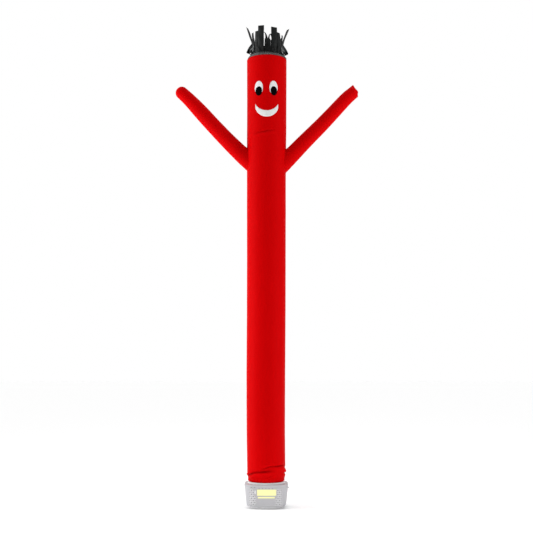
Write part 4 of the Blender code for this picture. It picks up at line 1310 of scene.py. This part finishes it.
# %% Front of the tub
def tub_front(x, z):
    """The point of the tub's front face at x, z, and the way it faces."""
    inner = shell_half(z) - SHELL_CORNER
    aside = math.copysign(max(abs(x) - inner, 0.0), x)
    ahead = math.sqrt(SHELL_CORNER ** 2 - aside ** 2)
    lean = (SHELL_HIGH - SHELL_LOW) / (SHELL_TOP - BASE_H)
    facing = Vector((aside, -ahead, 0.0)).normalized() + Vector((0.0, 0.0, -lean))
    return Vector((x, -(inner + ahead), z)), facing.normalized()


def plate(name, x, z, width, height, material, node, thick, lift, corner):
    """A thin plate with round corners on the tub's front."""
    corner_wide = corner / (0.5 * width)
    corner_high = corner / (0.5 * height)

    def place(u, w):
        across = 2.0 * u - 1.0
        up = 2.0 * w - 1.0
        past = max(0.0, (abs(up) - 1.0 + corner_high) / corner_high)
        trim = 1.0 - corner_wide * (1.0 - math.sqrt(max(0.0, 1.0 - past ** 2)))
        spot, facing = tub_front(x + 0.5 * width * across * trim, z + 0.5 * height * up)
        return spot + facing * lift

    bm = bend(flat_sheet(40, 24, width, height), place)
    return thicken(piece(name, bm, material, node), thick)


RIB_X = -0.1320
plate("blank_plate", 0.0042, 0.2020, 0.2290, 0.0745, label_film, "label_plate",
      thick=0.0008, lift=0.0014, corner=0.006)
plate("blank_bar", 0.0006, 0.1430, 0.2030, 0.0180, label_film, "label_bar",
      thick=0.0008, lift=0.0014, corner=0.003)
plate("pale_rib", RIB_X, 0.2080, 0.0110, 0.0420, ring_plastic, "front_rib",
      thick=0.0030, lift=0.0036, corner=0.004)
print("plates are on")

# %% Places of the air holes
HOLE_PITCH = 0.0400
HOLE_ROW = 0.0246
FIELD_LOW, FIELD_HIGH = 0.058, 0.250
TOP_ROW = 0.2505
PLATE_LOW = 0.156
PLATE_REACH = 0.136
RIB_REACH = 0.016


def hole_field(x_low, x_high, z_low, z_high):
    """Staggered places that fill a rectangle."""
    places = []
    row = 0
    z = z_low
    while z <= z_high:
        x = x_low + (0.5 * HOLE_PITCH if row % 2 else 0.0)
        while x <= x_high:
            places.append((x, z))
            x += HOLE_PITCH
        z += HOLE_ROW
        row += 1
    return places


def is_free(x, z):
    """Whether neither the big plate nor the rib is in the way."""
    return z <= PLATE_LOW or (abs(x - RIB_X) >= RIB_REACH and abs(x) >= PLATE_REACH)


side_places = hole_field(-0.196, -0.116, FIELD_LOW, FIELD_HIGH)
side_places += hole_field(0.118, 0.192, FIELD_LOW, FIELD_HIGH)
side_places = [place for place in side_places if is_free(*place)]
top_places = hole_field(-0.086, 0.096, TOP_ROW, TOP_ROW)
print("air holes at the sides:", len(side_places), "over the plates:", len(top_places))

# %% Air holes
DISC_THICK = 0.0003


def add_discs(whole, places, radius, lift):
    """A thin disc at each place, made looking along +Z and turned to face as the front does."""
    for x, z in places:
        bm = bmesh.new()
        bmesh.ops.create_circle(bm, cap_ends=True, segments=12, radius=radius)
        bmesh.ops.solidify(bm, geom=bm.faces[:], thickness=DISC_THICK)
        bmesh.ops.recalc_face_normals(bm, faces=bm.faces)
        spot, facing = tub_front(x, z)
        turn = facing.to_track_quat("Z", "Y").to_matrix().to_4x4()
        bmesh.ops.transform(bm, matrix=turn, verts=bm.verts)
        bmesh.ops.translate(bm, verts=bm.verts, vec=spot + facing * lift)
        join_into(whole, bm)


rims_bm = bmesh.new()
add_discs(rims_bm, side_places, radius=0.0152, lift=0.0012)
piece("hole_rims", rims_bm, hole_rim, smooth=False)
# The dark discs are painted shade for the inside of each hole.
holes_bm = bmesh.new()
add_discs(holes_bm, side_places, radius=0.0095, lift=0.0018)
add_discs(holes_bm, top_places, radius=0.0060, lift=0.0006)
piece("air_holes", holes_bm, hollow_dark, smooth=False)
print("rims and holes are on")

# %% Screws and knob
for node in ("screw_1", "screw_2", "blower_knob"):
    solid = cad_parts[node]
    solid.data.materials.clear()
    solid.data.materials.append(black_plastic)
print("screws and knob have their finish")

# %% Finish
bpy.context.view_layer.update()
